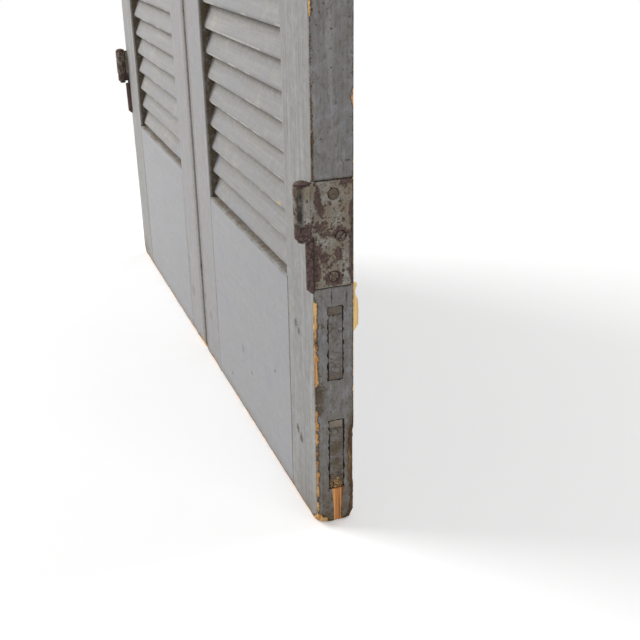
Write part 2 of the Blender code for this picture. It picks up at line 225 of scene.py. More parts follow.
class Field:
    """One output of a node: a value, a colour or a place on the surface."""

    def __init__(self, tree, kind, inputs=(), output=0, **settings):
        node = tree.nodes.new(kind)
        for key, value in settings.items():
            setattr(node, key, value)
        for key, value in dict(inputs).items():
            source = value.socket if isinstance(value, Field) else value
            if isinstance(source, bpy.types.NodeSocket):
                tree.links.new(source, node.inputs[key])
            else:
                node.inputs[key].default_value = source
        self.tree = tree
        self.socket = node.outputs[output]

    def reckoned(self, operation, other):
        return Field(self.tree, "ShaderNodeMath", {0: self, 1: other}, operation=operation)

    def __add__(self, other):
        return self.reckoned("ADD", other)

    def __sub__(self, other):
        return self.reckoned("SUBTRACT", other)

    def __mul__(self, other):
        return self.reckoned("MULTIPLY", other)

    def larger(self, other):
        return self.reckoned("MAXIMUM", other)

    def ramp(self, low, high):
        """Goes smoothly from 0 at low to 1 at high."""
        inputs = {"Value": self, "From Min": low, "From Max": high}
        return Field(self.tree, "ShaderNodeMapRange", inputs, interpolation_type="SMOOTHSTEP")

    def between(self, low, high):
        """Goes evenly from low to high, where the value goes from 0 to 1."""
        return Field(self.tree, "ShaderNodeMapRange", {"Value": self, "To Min": low, "To Max": high})

    def mix(self, first, second, blend="MIX"):
        """Goes from the first colour to the second, where the value goes from 0 to 1."""
        inputs = {0: self, 6: first, 7: second}
        return Field(self.tree, "ShaderNodeMix", inputs, 2, data_type="RGBA", blend_type=blend)

    def mapped(self, scale, shift):
        return Field(self.tree, "ShaderNodeMapping", {"Vector": self, "Scale": scale, "Location": shift})

    def moved(self, *shift):
        return self.mapped((1, 1, 1), shift)

    def grain(self, along, seed, squeeze=0.03):
        """Places drawn out along one axis, for brush marks and wood grain."""
        scale = [1.0, 1.0, 1.0]
        scale[along] = squeeze
        return self.mapped(scale, (seed * 0.37, seed * 0.73, seed * 0.19))

    def length(self):
        return Field(self.tree, "ShaderNodeVectorMath", {0: self}, "Value", operation="LENGTH")

    def cloud(self, scale, detail=4.0, rough=0.55):
        inputs = {"Vector": self, "Scale": scale, "Detail": detail, "Roughness": rough}
        return Field(self.tree, "ShaderNodeTexNoise", inputs, "Fac")

    def kept(self, name):
        """A value that the mesh keeps at its corners."""
        return Field(self.tree, "ShaderNodeAttribute", output="Fac", attribute_name=name)

    def bump(self, distance, strength, under=None):
        inputs = {"Height": self, "Distance": distance, "Strength": strength}
        if under is not None:
            inputs["Normal"] = under
        return Field(self.tree, "ShaderNodeBump", inputs)


def blank_material(name):
    """A new material, the places on its surface and its shader."""
    made = bpy.data.materials.new(name)
    made.use_nodes = True
    place = Field(made.node_tree, "ShaderNodeTexCoord", output="Object")
    return made, place, made.node_tree.nodes["Principled BSDF"]


def finish_surface(shader, colour, roughness, normal):
    for key, field in (("Base Color", colour), ("Roughness", roughness), ("Normal", normal)):
        field.tree.links.new(field.socket, shader.inputs[key])


# Materials.


def bare_wood_colour(place, along, seed):
    """Old softwood: golden and orange streaks with darker grain."""
    fine = place.grain(along, seed, 0.05).cloud(1100.0, 3.0)
    broad = place.grain(along, seed + 3, 0.10).cloud(260.0)
    wood = broad.ramp(0.40, 0.60).mix(tone(214, 156, 96), tone(250, 208, 142))
    return (fine.ramp(0.52, 0.66) * 0.7).mix(wood, tone(158, 108, 66))


def torn_wood_colour(place, along):
    """Freshly torn orange wood with a few dark streaks."""
    streak = place.grain(along, 4.0, 0.02).cloud(420.0, 3.0, 0.5)
    wood = streak.ramp(0.40, 0.58).mix(tone(234, 178, 118), tone(206, 140, 84))
    return streak.ramp(0.60, 0.66).mix(wood, tone(132, 82, 50))


def brush_marks(place, along, seed):
    return place.grain(along, seed).cloud(420.0, 5.0, 0.65)


def paint_colour(place, along, seed, pale, grit, streaky, cloudy):
    """Grey paint with brush marks, paler streaks where it is worn thin, cool and warm smudges and a fine
    worn mottle.
    """
    aged_and_shaded = place.kept("age")
    broad_wear = aged_and_shaded * 0.16 + grit
    fine_wear = aged_and_shaded * 0.34 + grit
    streak = place.grain(along, seed + 5, 0.07).cloud(110.0, 4.0, 0.6)
    spread = place.moved(seed, seed, seed)
    smudge = spread.cloud(24.0, 6.0, 0.66)
    blotch = spread.cloud(95.0, 6.0, 0.70)
    mottle = place.grain(along, seed + 9, 0.45).cloud(330.0, 6.0, 0.75)
    low = shaded(pale, 1.0 - 0.20 * streaky)
    high = shaded(pale, 1.0 + 0.16 * streaky)
    grey = brush_marks(place, along, seed).ramp(0.30, 0.70).mix(low, high)
    grey = (streak.ramp(0.54, 0.72) * (0.8 * streaky)).mix(grey, tone(190, 188, 183))
    grey = (smudge.ramp(0.50, 0.72) * cloudy).mix(grey, tone(156, 158, 165))
    grey = (smudge.ramp(0.46, 0.30) * max(0.0, cloudy - 0.4)).mix(grey, tone(184, 178, 168))
    grey = (blotch.ramp(0.50, 0.62) * broad_wear).mix(grey, tone(138, 131, 120))
    grey = (blotch.ramp(0.46, 0.36) * broad_wear).mix(grey, tone(190, 192, 198))
    return (mottle.ramp(0.52, 0.60) * fine_wear).mix(grey, tone(118, 110, 98))


def spot_mask(place, centre, size, ragged):
    """A ragged spot round a place, with a half size along each axis."""
    scale = [1.0 / value for value in size]
    shift = [-at / value for at, value in zip(centre, size)]
    return (place.mapped(scale, shift).length() + ragged * 4.5).ramp(3.25, 2.75)


def aged_paint(name, along, seed, pale, grit, streaky, spots=(), cloudy=0.4):
    """Painted softwood that reads values of the surface.

    Wear above nought is bare wood, torn is fresh wood there. One value browns the paint with soiling and
    with painted shade in housings, gaps and under slats; one darkens it, mostly as painted shade on faces
    turned from the light; one makes it paler as a painted highlight along slat noses.
    """
    made, place, shader = blank_material(name)
    shifted = place.moved(seed * 1.7, seed * 0.9, seed * 2.3)
    crumb = shifted.cloud(620.0, 7.0, 0.74)
    patch = shifted.cloud(210.0, 4.0, 0.6)
    worn = place.kept("wear") + (crumb * 6.4 + patch * 3.2 - 5.05)
    bare = worn.ramp(-0.05, 0.20)
    dirt_and_shade = place.kept("grime_and_shade")
    aged_and_shaded = place.kept("age")
    soil_and_shade = dirt_and_shade * shifted.cloud(170.0, 7.0, 0.76).ramp(0.24, 0.62)
    nose_highlight = place.kept("nose_highlight") * shifted.cloud(24.0, 3.0).ramp(0.46, 0.58)
    speck = shifted.cloud(340.0, 3.0, 0.5).ramp(0.65, 0.685)
    paint = paint_colour(place, along, seed, pale, grit, streaky, cloudy)
    # Paler paint: a painted highlight along slat noses.
    paint = nose_highlight.mix(paint, tone(206, 203, 196))
    paint = (speck * (aged_and_shaded * 0.6 + 0.7 * grit)).mix(paint, tone(84, 72, 58))
    for centre, size, strength, stain in spots:
        paint = (spot_mask(place, centre, size, crumb) * strength).mix(paint, stain)
    # Brown over the paint: soiling, and painted shade in housings, gaps and under slats.
    paint = soil_and_shade.mix(paint, tone(118, 104, 82))
    # Darker paint: mostly painted shade on faces turned from the light.
    paint = aged_and_shaded.mix(paint, tone(221, 220, 222), "MULTIPLY")
    wood = bare_wood_colour(place, along, seed)
    # Bare wood browns under the same soiling and painted shade.
    wood = dirt_and_shade.ramp(0.25, 1.10).mix(wood, tone(88, 66, 46))
    wood = place.kept("torn").mix(wood, torn_wood_colour(place, along))
    colour = worn.ramp(-1.35, -0.10).mix(paint, tone(62, 50, 38))
    colour = bare.mix(colour, wood)
    skin = brush_marks(place, along, seed).bump(0.0005, 0.6 * streaky)
    grain = crumb.bump(0.0003, 0.30 + grit, skin)
    shader.inputs["Specular IOR Level"].default_value = 0.25
    finish_surface(shader, colour, (bare + soil_and_shade).between(0.58, 0.88), bare.bump(-0.0005, 0.9, grain))
    return made


def wedge_finish(name, seed, pale, pitted):
    """End grain of old wedges, painted and pitted, or crumbled by rot where the mesh's soiling value, set
    to the rot, is high.
    """
    made, place, shader = blank_material(name)
    place = place.moved(seed, seed * 2.1, seed * 0.6)
    crumb = place.cloud(560.0, 7.0, 0.75)
    patch = place.cloud(150.0, 4.0, 0.6)
    paint = patch.ramp(0.35, 0.65).mix(shaded(pale, 0.78), pale)
    paint = crumb.ramp(pitted, pitted + 0.10).mix(paint, tone(66, 55, 44))
    crumbled = crumb.ramp(0.46, 0.60).mix(tone(40, 31, 25), tone(206, 164, 102))
    colour = place.kept("grime_and_shade").mix(paint, crumbled)
    finish_surface(shader, colour, crumb.between(0.65, 0.9), crumb.bump(0.0010, 0.8))
    return made


def rusted_iron(name, seed):
    """Iron under flaking paint: rust shows where the rust value is high."""
    made, place, shader = blank_material(name)
    place = place.moved(seed * 1.3, seed * 0.4, seed * 2.2)
    crumb = place.cloud(380.0, 8.0, 0.76)
    patch = place.cloud(150.0, 6.0, 0.66)
    stain = place.cloud(75.0, 6.0, 0.68)
    pit = place.cloud(400.0, 3.0, 0.5).ramp(0.61, 0.66)
    flaked = place.kept("rust") + (crumb * 2.4 + patch * 2.6 - 2.50)
    gone = flaked.ramp(-0.05, 0.08)
    paint = patch.ramp(0.38, 0.60).mix(tone(128, 121, 109), tone(169, 167, 162))
    paint = (stain.ramp(0.44, 0.60) * 0.8).mix(paint, tone(128, 112, 90))
    paint = flaked.ramp(-0.35, -0.04).mix(paint, tone(104, 88, 70))
    rust = crumb.ramp(0.38, 0.62).mix(tone(54, 40, 38), tone(108, 86, 80))
    colour = pit.mix(gone.mix(paint, rust), tone(46, 35, 30))
    # Near black: soiling, and painted shade in countersinks and creases.
    colour = place.kept("grime_and_shade").mix(colour, tone(34, 27, 23))
    hollow = pit.bump(-0.0006, 0.9, crumb.bump(0.0004, 0.6))
    shader.inputs["Specular IOR Level"].default_value = 0.35
    finish_surface(shader, colour, gone.between(0.48, 0.70), gone.bump(-0.0005, 0.9, hollow))
    return made


def pin_finish():
    """Dark rusted iron with a few paler patches."""
    made, place, shader = blank_material("worn_pin_iron")
    crumb = place.cloud(460.0, 5.0, 0.65)
    patch = place.cloud(160.0, 3.0)
    rust = crumb.ramp(0.38, 0.62).mix(tone(50, 37, 33), tone(92, 70, 62))
    colour = patch.ramp(0.60, 0.68).mix(rust, tone(116, 102, 86))
    shader.inputs["Metallic"].default_value = 0.25
    finish_surface(shader, colour, crumb.between(0.45, 0.75), crumb.bump(0.0005, 0.6))
    return made


def screw_finish(name, dark, light, metallic):
    """Old slotted screws: dark steel, or filled over with paint."""
    made, place, shader = blank_material(name)
    crumb = place.cloud(700.0, 4.0, 0.6)
    colour = crumb.ramp(0.36, 0.68).mix(dark, light)
    shader.inputs["Metallic"].default_value = metallic
    finish_surface(shader, colour, crumb.between(0.35, 0.7), crumb.bump(0.0004, 0.6))
    return made


def fresh_wood():
    """Pale torn wood of a splinter."""
    made, place, shader = blank_material("fresh_splinter_wood")
    grain = place.grain(Z, 2.0).cloud(900.0)
    colour = grain.ramp(0.35, 0.70).mix(tone(252, 218, 152), tone(228, 178, 110))
    finish_surface(shader, colour, grain.between(0.6, 0.85), grain.bump(0.0006, 0.6))
    return made


# Mesh helpers.


def everything(bm):
    return bm.verts[:] + bm.edges[:] + bm.faces[:]


def unit_box():
    bm = bmesh.new()
    bmesh.ops.create_cube(bm, size=1.0)
    return bm


def edges_along(bm, axis):
    """The edges of a unit box that run along one axis."""
    return [e for e in bm.edges if abs(e.verts[0].co[axis] - e.verts[1].co[axis]) > 0.5]


def box_grid(*lines_by_axis):
    """A box cut across each of its three axes at the given places."""
    bm = unit_box()
    for axis, lines in enumerate(lines_by_axis):
        along = edges_along(bm, axis)
        bmesh.ops.subdivide_edges(bm, edges=along, cuts=len(lines) - 2, use_grid_fill=True)
        for vert in bm.verts:
            step = round((vert.co[axis] + 0.5) * (len(lines) - 1))
            vert.co[axis] = lines[step]
    return bm


def solid_box(low, high):
    bm = unit_box()
    bmesh.ops.scale(bm, vec=[b - a for a, b in zip(low, high)], verts=bm.verts)
    bmesh.ops.translate(bm, vec=[(a + b) / 2 for a, b in zip(low, high)], verts=bm.verts)
    return bm


def graded(low, high, step, edges=(), marks=()):
    """Cutting places from low to high: close to both ends, at each mark between, and evenly."""
    fixed = {low, high, *(mark for mark in marks if low < mark < high)}
    fixed |= {low + edge for edge in edges}
    fixed |= {high - edge for edge in edges}
    stops = sorted(fixed)
    lines = []
    for here, after in zip(stops, stops[1:]):
        count = max(1, round((after - here) / step))
        lines += [here + (after - here) * number / count for number in range(count)]
    return lines + [high]


def on_planes(element, planes):
    return all(abs(vert.co[axis] - place) < NEAR for vert in element.verts for axis, place, _ in planes)


def rounded(bm, edges, radius, segments):
    bmesh.ops.bevel(
        bm,
        geom=edges,
        offset=radius,
        offset_type="OFFSET",
        segments=segments,
        profile=0.5,
        affect="EDGES",
        material=-1,
    )


def ease(bm, radius, corners, segments=3):
    """Rounds the edges that lie in both faces of a corner."""
    edges = [edge for edge in bm.edges if any(on_planes(edge, corner) for corner in corners)]
    rounded(bm, edges, radius, segments)


def cut_off(bm, place, outward):
    """Cuts off what lies beyond a plane and closes the cut."""
    cut = bmesh.ops.bisect_plane(
        bm, geom=everything(bm), plane_co=place, plane_no=outward, clear_outer=True
    )["geom_cut"]
    bmesh.ops.holes_fill(bm, edges=[part for part in cut if isinstance(part, bmesh.types.BMEdge)])


def drawn_out(bm, plane, ranges, move):
    """Extrudes the faces on a plane whose middle lies within ranges: an axis, a low and a high each."""
    faces = []
    for face in bm.faces:
        middle = face.calc_center_median()
        if all(low < middle[axis] < high for axis, low, high in ranges) and on_planes(face, [plane]):
            faces.append(face)
    made = bmesh.ops.extrude_face_region(bm, geom=faces)["geom"]
    bmesh.ops.delete(bm, geom=faces, context="FACES")
    ends = [part for part in made if isinstance(part, bmesh.types.BMVert)]
    bmesh.ops.translate(bm, verts=ends, vec=(move, 0, 0))


def layers(bm, *names):
    """Values that a mesh keeps at its corners, nought to begin with."""
    kept = bm.verts.layers.float
    return [kept.get(name) or kept.new(name) for name in names]


def start_layers(bm, grime_and_shade=0.0):
    worn, soiled_and_shaded, _ = layers(bm, "wear", "grime_and_shade", "age")
    for vert in bm.verts:
        vert[worn] = UNWORN
        vert[soiled_and_shaded] = grime_and_shade


def ripple(place, seed, scale):
    return noise.fractal(Vector((place[0] * scale, place[1] * scale + seed, place[2] * scale)), 1.0, 2.0, 3)


def wear_profile(seed, base, chips=()):
    """Gives a function for the depth of wear along an arris. Chips are (middle, half length, depth)."""

    def depth(at):
        worn = base * (1.0 + 0.9 * noise.fractal(Vector((at * 70.0, seed, 0.5)), 1.0, 2.0, 3))
        for middle, half, size in chips:
            inside = 1.0 - abs(at - middle) / half
            if inside > 0.0:
                ragged = 1.0 + 0.30 * noise.noise(Vector((at * 260.0, seed, 4.5)))
                worn = max(worn, size * min(1.0, 3.0 * inside) ** 0.6 * ragged)
        return max(worn, 0.0)

    return depth


def random_chips(seed, low, high, per_metre, size):
    picker = random.Random(seed)
    chips = []
    for _ in range(round((high - low) * per_metre)):
        middle = picker.uniform(low, high)
        half = picker.uniform(*CHIP_HALF)
        chips.append((middle, half, size * picker.uniform(0.45, 1.0)))
    return chips


def wear_arris(bm, first, second, seed, base, chips=(), bite=0.45):
    """Wears the corner between two faces. The bite is the share of the wear that is missing wood."""
    (worn,) = layers(bm, "wear")
    depth = wear_profile(seed, base, chips)
    axis_a, place_a, inward_a = first
    axis_b, place_b, inward_b = second
    run = X + Y + Z - axis_a - axis_b
    for vert in bm.verts:
        a = (vert.co[axis_a] - place_a) * inward_a
        b = (vert.co[axis_b] - place_b) * inward_b
        if a < -1e-4 or b < -1e-4 or a + b > WEAR_REACH:
            continue
        deep = depth(vert.co[run]) * (1.0 + 0.15 * noise.noise(vert.co * 500.0))
        vert[worn] = max(vert[worn], (deep - a - b) * 1000.0)
        push = (deep * bite - a - b) / 2
        if push > 0.0:
            vert.co[axis_a] += inward_a * push
            vert.co[axis_b] += inward_b * push


def waver(bm, seed, amount, scale=18.0):
    """Moves the surface a little, as on hand-planed boards."""
    bm.normal_update()
    moves = [(vert, vert.normal * (amount * ripple(vert.co, seed, scale))) for vert in bm.verts]
    for vert, move in moves:
        vert.co += move


def mesh_of(bm, name):
    mesh = bpy.data.meshes.new(name)
    bm.to_mesh(mesh)
    bm.free()
    return mesh


def linked(name, data):
    obj = bpy.data.objects.new(name, data)
    bpy.context.scene.collection.objects.link(obj)
    return obj


def closed_object(bm, name):
    """An object whose faces point outwards."""
    bmesh.ops.recalc_face_normals(bm, faces=bm.faces)
    return linked(name, mesh_of(bm, name))


def add_piece(bm, name, surface, slot, *nodes, body=None):
    """Turns a right-hand shape into a piece of the leaf that its name starts with."""
    which = name.split("_")[0]
    bmesh.ops.scale(bm, vec=(SIDES[which], 1, 1), verts=bm.verts)
    obj = closed_object(bm, name)
    mesh = obj.data
    mesh.polygons.foreach_set("use_smooth", [True] * len(mesh.polygons))
    mesh.set_sharp_from_angle(angle=SHARP_ANGLE)
    mesh.materials.append(surface)
    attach(obj, body or which + "_leaf")
    if nodes:
        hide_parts(*nodes)


def carved(bm, steps):
    """Joins or cuts a shape with others and gives the result as a new shape."""
    base = closed_object(bm, "carving")
    helpers = [base]
    for operation, tool in steps:
        modifier = base.modifiers.new("carve", "BOOLEAN")
        modifier.operation = operation
        modifier.object = closed_object(tool, "carving_tool")
        modifier.solver = "EXACT"
        helpers.append(modifier.object)
    bpy.context.view_layer.update()
    result = bpy.data.meshes.new_from_object(base.evaluated_get(bpy.context.evaluated_depsgraph_get()))
    shape = bmesh.new()
    shape.from_mesh(result)
    bpy.data.meshes.remove(result)
    for obj in helpers:
        mesh = obj.data
        bpy.data.objects.remove(obj)
        bpy.data.meshes.remove(mesh)
    bmesh.ops.remove_doubles(shape, verts=shape.verts, dist=NEAR)
    bmesh.ops.holes_fill(shape, edges=[edge for edge in shape.edges if edge.is_boundary])
    return shape


def turned(profile, centre, steps, axis="Z"):
    """A profile of (radius, along) points turned about an upright axis, or one across the leaf."""
    bm = bmesh.new()
    points = [bm.verts.new((radius, 0.0, along)) for radius, along in profile]
    for here, after in zip(points, points[1:]):
        bm.edges.new((here, after))
    bmesh.ops.spin(
        bm,
        geom=everything(bm),
        cent=(0, 0, 0),
        axis=(0, 0, 1),
        angle=2 * math.pi,
        steps=steps,
        use_merge=True,
    )
    bmesh.ops.remove_doubles(bm, verts=bm.verts, dist=NEAR)
    if axis == "X":
        bmesh.ops.rotate(bm, verts=bm.verts, matrix=Matrix.Rotation(math.pi / 2, 3, "Y"))
    bmesh.ops.translate(bm, verts=bm.verts, vec=centre)
    bmesh.ops.recalc_face_normals(bm, faces=bm.faces)
    return bm


# Boards.


def upright_lines(marks):
    low = graded(0.0, FINE_TOP, FINE_STEP, marks=marks)
    return low[:-1] + graded(FINE_TOP, SPRING_Z, COARSE_STEP, marks=marks)


def mortise_span(tenon):
    foot, top = TENONS[tenon]
    return foot - WEDGE_THICK - MORTISE_GAP, top + WEDGE_THICK + MORTISE_GAP


def gain_span(level):
    return level - HINGE_HALF - 0.6 * GAIN_GAP, level + HINGE_HALF + GAIN_GAP


# Chips seen in the photograph, on the outer edge of the right leaf: (middle, half length, depth).
FRONT_CHIPS = (
    (0.3745, 0.0100, 0.0006),
    (0.3500, 0.0030, 0.0014),
    (0.3430, 0.0020, 0.0012),
    (0.3050, 0.0030, 0.0010),
    (0.2045, 0.0150, 0.0026),
    (0.1835, 0.0120, 0.0021),
    (0.1560, 0.0185, 0.0025),
    (0.1140, 0.0035, 0.0020),
    (0.1020, 0.0055, 0.0021),
    (0.0890, 0.0055, 0.0023),
    (0.0640, 0.0700, 0.0012),
    (0.0640, 0.0040, 0.0018),
    (0.0490, 0.0070, 0.0025),
    (0.0350, 0.0070, 0.0020),
    (0.0190, 0.0050, 0.0017),
)
BACK_CHIPS = ((0.0640, 0.0360, 0.0054), (0.0280, 0.0300, 0.0036), (0.1550, 0.0330, 0.0010))
FOOT_CHIPS = ((0.0000, 0.0110, 0.0058),)

# Chips along the floor, across the outer edge and across the front.
FOOT_CORNERS = ((FRONT, 0.012, 0.0060), (BACK, 0.009, 0.0050))
FOOT_FRONT = ((OUTER_X, 0.010, 0.0045),)
MEETING_FOOT = {"right": ((0.0, 0.010, 0.0040),), "left": ((0.012, 0.026, 0.0060), (0.062, 0.010, 0.0045))}

# Marks seen on the doors, on the front or on the outer edge: middle, half sizes, strength and colour.
SCUFF = tone(96, 88, 78)
OLIVE = tone(82, 72, 54)
MARK_DEPTH = 0.006


def front_mark(x, z, wide, high, strength, stain=SCUFF):
    return (x, FRONT, z), (wide, MARK_DEPTH, high), strength, stain


def edge_mark(deep, z, wide, high, strength, stain=SCUFF):
    return (OUTER_X, FRONT + deep, z), (MARK_DEPTH, wide, high), strength, stain


STILE_SPOTS = (
    front_mark(0.3505, 0.1815, 0.0044, 0.0052, 0.9),
    front_mark(0.3575, 0.1765, 0.0036, 0.0046, 0.9),
    front_mark(0.3490, 0.0745, 0.0046, 0.0048, 1.0),
    front_mark(0.3580, 0.0690, 0.0052, 0.0060, 1.0),
    edge_mark(0.0071, 0.1956, 0.0020, 0.0028, 0.9),
    edge_mark(0.0285, 0.2200, 0.0011, 0.0080, 0.9),
    edge_mark(0.0152, 0.2215, 0.0005, 0.0080, 1.0, tone(60, 54, 48)),
    edge_mark(0.0300, 0.3330, 0.0024, 0.0009, 1.0),
    edge_mark(0.0035, 0.1340, 0.0060, 0.0110, 0.95, OLIVE),
    edge_mark(0.0040, 0.1180, 0.0040, 0.0060, 0.8, OLIVE),
)
RAIL_SPOTS = (
    front_mark(0.1724, 0.0760, 0.0046, 0.0064, 0.35),
    front_mark(0.1236, 0.0234, 0.0044, 0.0026, 0.6),
    front_mark(0.2033, 0.0615, 0.0040, 0.0026, 0.6),
    front_mark(0.2847, 0.1025, 0.0034, 0.0024, 0.6),
    edge_mark(0.0180, 0.0755, 0.0045, 0.0040, 0.8, OLIVE),
    edge_mark(0.0190, 0.0630, 0.0050, 0.0045, 0.8, OLIVE),
)
MEETING_SPOTS = {
    "right": (
        front_mark(0.0340, 0.0590, 0.0070, 0.0080, 0.30),
        front_mark(0.0120, 0.0760, 0.0060, 0.0050, 0.35, OLIVE),
    ),
    "left": (
        front_mark(-0.0520, 0.0600, 0.0090, 0.0110, 0.35),
        front_mark(-0.0640, 0.0990, 0.0060, 0.0060, 0.30),
    ),
}
SLAT_SPOTS = (((0.2985, FRONT + 0.0060, 0.2735), (0.0060, 0.020, 0.0028), 0.95, tone(214, 184, 126)),)

# Dirt on the corners of the outer edge: middle, reach and amount.
EDGE_DIRT = (
    ((OUTER_X - 0.015, FRONT, 0.006), (0.030, 0.010, 0.026), 0.55),
    ((OUTER_X, FRONT, 0.344), (0.0024, 0.0024, 0.020), 1.15),
    ((OUTER_X, FRONT, 0.181), (0.003, 0.003, 0.008), 0.9),
    ((OUTER_X, FRONT + 0.004, 0.128), (0.004, 0.004, 0.012), 1.0),
    ((OUTER_X, FRONT, 0.072), (0.004, 0.004, 0.010), 0.7),
    ((OUTER_X, FRONT, 0.026), (0.004, 0.004, 0.010), 0.6),
    ((OUTER_X, BACK, 0.040), (0.010, 0.010, 0.060), 1.15),
    ((OUTER_X, BACK, 0.085), (0.010, 0.008, 0.034), 1.5),
)


def gain_recesses(bm):
    """Lets the hinge plates into the outer edge."""
    floor = OUTER_X - PLATE_THICK - FIT
    for level in HINGE_LEVELS.values():
        low, high = gain_span(level)
        for vert in bm.verts:
            x, y, z = vert.co
            if y < GAIN_BACK and low - 1e-5 < z < high + 1e-5 and x > floor:
                vert.co.x = floor
            elif y < GAIN_BACK and abs(z - high) < 0.0003:
                vert.co.z += GAIN_FRAY * noise.noise(Vector((y * 260.0, level * 30.0, 0.0)))


def mouth_distances(place):
    """How far a place on the outer edge lies from the mouth of each mortise."""
    _, low, high = MORTISE_ACROSS
    beside = max(low - place.y, place.y - high, 0.0)
    for foot, top in map(mortise_span, TENONS):
        yield math.hypot(beside, max(foot - place.z, place.z - top, 0.0))


def mortises(bm):
    """Sinks the openings of the through tenons into the outer edge, and breaks the paint round them."""
    for tenon in TENONS:
        drawn_out(bm, OUTER_EDGE, (MORTISE_ACROSS, (Z, *mortise_span(tenon))), -WEDGE_LENGTH)
    (worn,) = layers(bm, "wear")
    for vert in bm.verts:
        away = min(mouth_distances(vert.co))
        if vert.co.x < OUTER_X - NEAR or away >= RIM_BREAK:
            continue
        vert[worn] = max(vert[worn], -0.80 - 1400.0 * away)
        if away < NEAR:
            place = vert.co * 330.0
            vert.co.y += RIM_FRAY * noise.noise(place)
            vert.co.z += RIM_FRAY * noise.noise(place + Vector((9.3, 5.1, 2.7)))


def bare_strip(bm):
    """Torn wood under the lowest tenon: wide at the tenon, narrow at the floor."""
    worn, torn = layers(bm, "wear", "torn")
    top = mortise_span("bottom_rail_lower")[0]
    for vert in bm.verts:
        x, y, z = vert.co
        if z > top + NEAR or x < OUTER_X - 0.002:
            continue
        share = z / top
        middle = STRIP_MIDDLE + STRIP_LEAN * share
        half = STRIP_HALF + STRIP_SPREAD * share**2
        inside = half - abs(y - middle)
        vert[worn] = max(vert[worn], inside * 4000.0)
        vert[torn] = 1.0 if inside > -0.0025 else 0.0
        if inside > 0.0:
            vert.co.x -= STRIP_DEPTH * min(1.0, inside / 0.0015)


def knock_corner(bm, corner, inward, reach):
    """Rounds off a corner worn away by knocks, and bares its wood."""
    (worn,) = layers(bm, "wear")
    for vert in bm.verts:
        near = [1.0 - (vert.co[axis] - corner[axis]) * inward[axis] / reach[axis] for axis in (X, Y, Z)]
        least = min(near)
        if least <= 0.0:
            continue
        length = math.sqrt(sum(value * value for value in near))
        keep = min(1.0, (1.414 - 0.45 * least) / length)
        for axis in (X, Y, Z):
            vert.co[axis] = corner[axis] + inward[axis] * reach[axis] * (1.0 - near[axis] * keep)
        vert[worn] = max(vert[worn], 9.0 * least - 1.2)


def soil_spot(bm, centre, reach, amount):
    """Adds soiling round a place, with a reach along each axis."""
    (soiled_and_shaded,) = layers(bm, "grime_and_shade")
    for vert in bm.verts:
        away = sum(((vert.co[axis] - centre[axis]) / reach[axis]) ** 2 for axis in (X, Y, Z))
        if away < 4.0:
            vert[soiled_and_shaded] = max(vert[soiled_and_shaded], amount * math.exp(-away))


def fading(height, reach):
    """Goes from 1 at the floor to nought at a height."""
    return max(0.0, 1.0 - height / reach)


def dusty_foot(bm, amount):
    """Dirt low on the boards, thickest at the floor."""
    (soiled_and_shaded,) = layers(bm, "grime_and_shade")
    for vert in bm.verts:
        if vert.co.z < FOOT_DIRT:
            vert[soiled_and_shaded] = max(vert[soiled_and_shaded], amount * fading(vert.co.z, FOOT_DIRT))


def shade_and_soil_outer_edge(bm):
    """Paints shade on the outer edge face, darker low down and round the hinges, and in the housings."""
    worn, soiled_and_shaded, aged_and_shaded = layers(bm, "wear", "grime_and_shade", "age")
    gain_ends = [edge for level in HINGE_LEVELS.values() for edge in gain_span(level)]
    for vert in bm.verts:
        x, y, z = vert.co
        # The outer face: darker paint all over as painted shade, darker still towards the floor and at the
        # plates' ends.
        if x > OUTER_X - 0.0012:
            low_darkening = 0.30 * fading(z, 0.30) + 0.06
            if y > FRONT + 0.004:
                low_darkening += 0.80 * fading(z, 0.060)
            near = min(abs(z - edge) for edge in gain_ends)
            vert[soiled_and_shaded] = max(low_darkening, 1.0 - near / 0.0012)
            vert[aged_and_shaded] = 1.0
        elif x > OUTER_X - 0.004:
            vert[aged_and_shaded] = 0.3
        # Painted shade, with soiling, in the slat housings of the inner face.
        elif x < OPEN_RIGHT + 0.0008 and HOUSED_FRONT < y < HOUSED_BACK:
            vert[soiled_and_shaded] = 1.2
            vert[aged_and_shaded] = 1.0
        elif x < OPEN_RIGHT + 0.0007 and z < BOTTOM_RAIL_TOP:
            vert[soiled_and_shaded] = 1.0
            vert[aged_and_shaded] = 0.5
    for centre, reach, amount in EDGE_DIRT:
        soil_spot(bm, centre, reach, amount)
    for vert in bm.verts:
        if vert[worn] > 1.0 and vert.co.y < FRONT + 0.008 and vert.co.z < 0.012:
            vert[soiled_and_shaded] = 0.10


def hinge_stile_lines():
    """Where a hinge stile is cut across its depth and its height."""
    _, low, high = MORTISE_ACROSS
    across = (low - RIM_CUT, low, high, high + RIM_CUT)
    marks = []
    for foot, top in map(mortise_span, TENONS):
        marks += [foot - RIM_CUT, foot, top, top + RIM_CUT]
    for foot, top in map(gain_span, HINGE_LEVELS.values()):
        marks += [foot - GAIN_CUT, foot, top, top + GAIN_CUT]
    return graded(FRONT, BACK, 0.0021, EDGE_CUTS, across), upright_lines(marks)


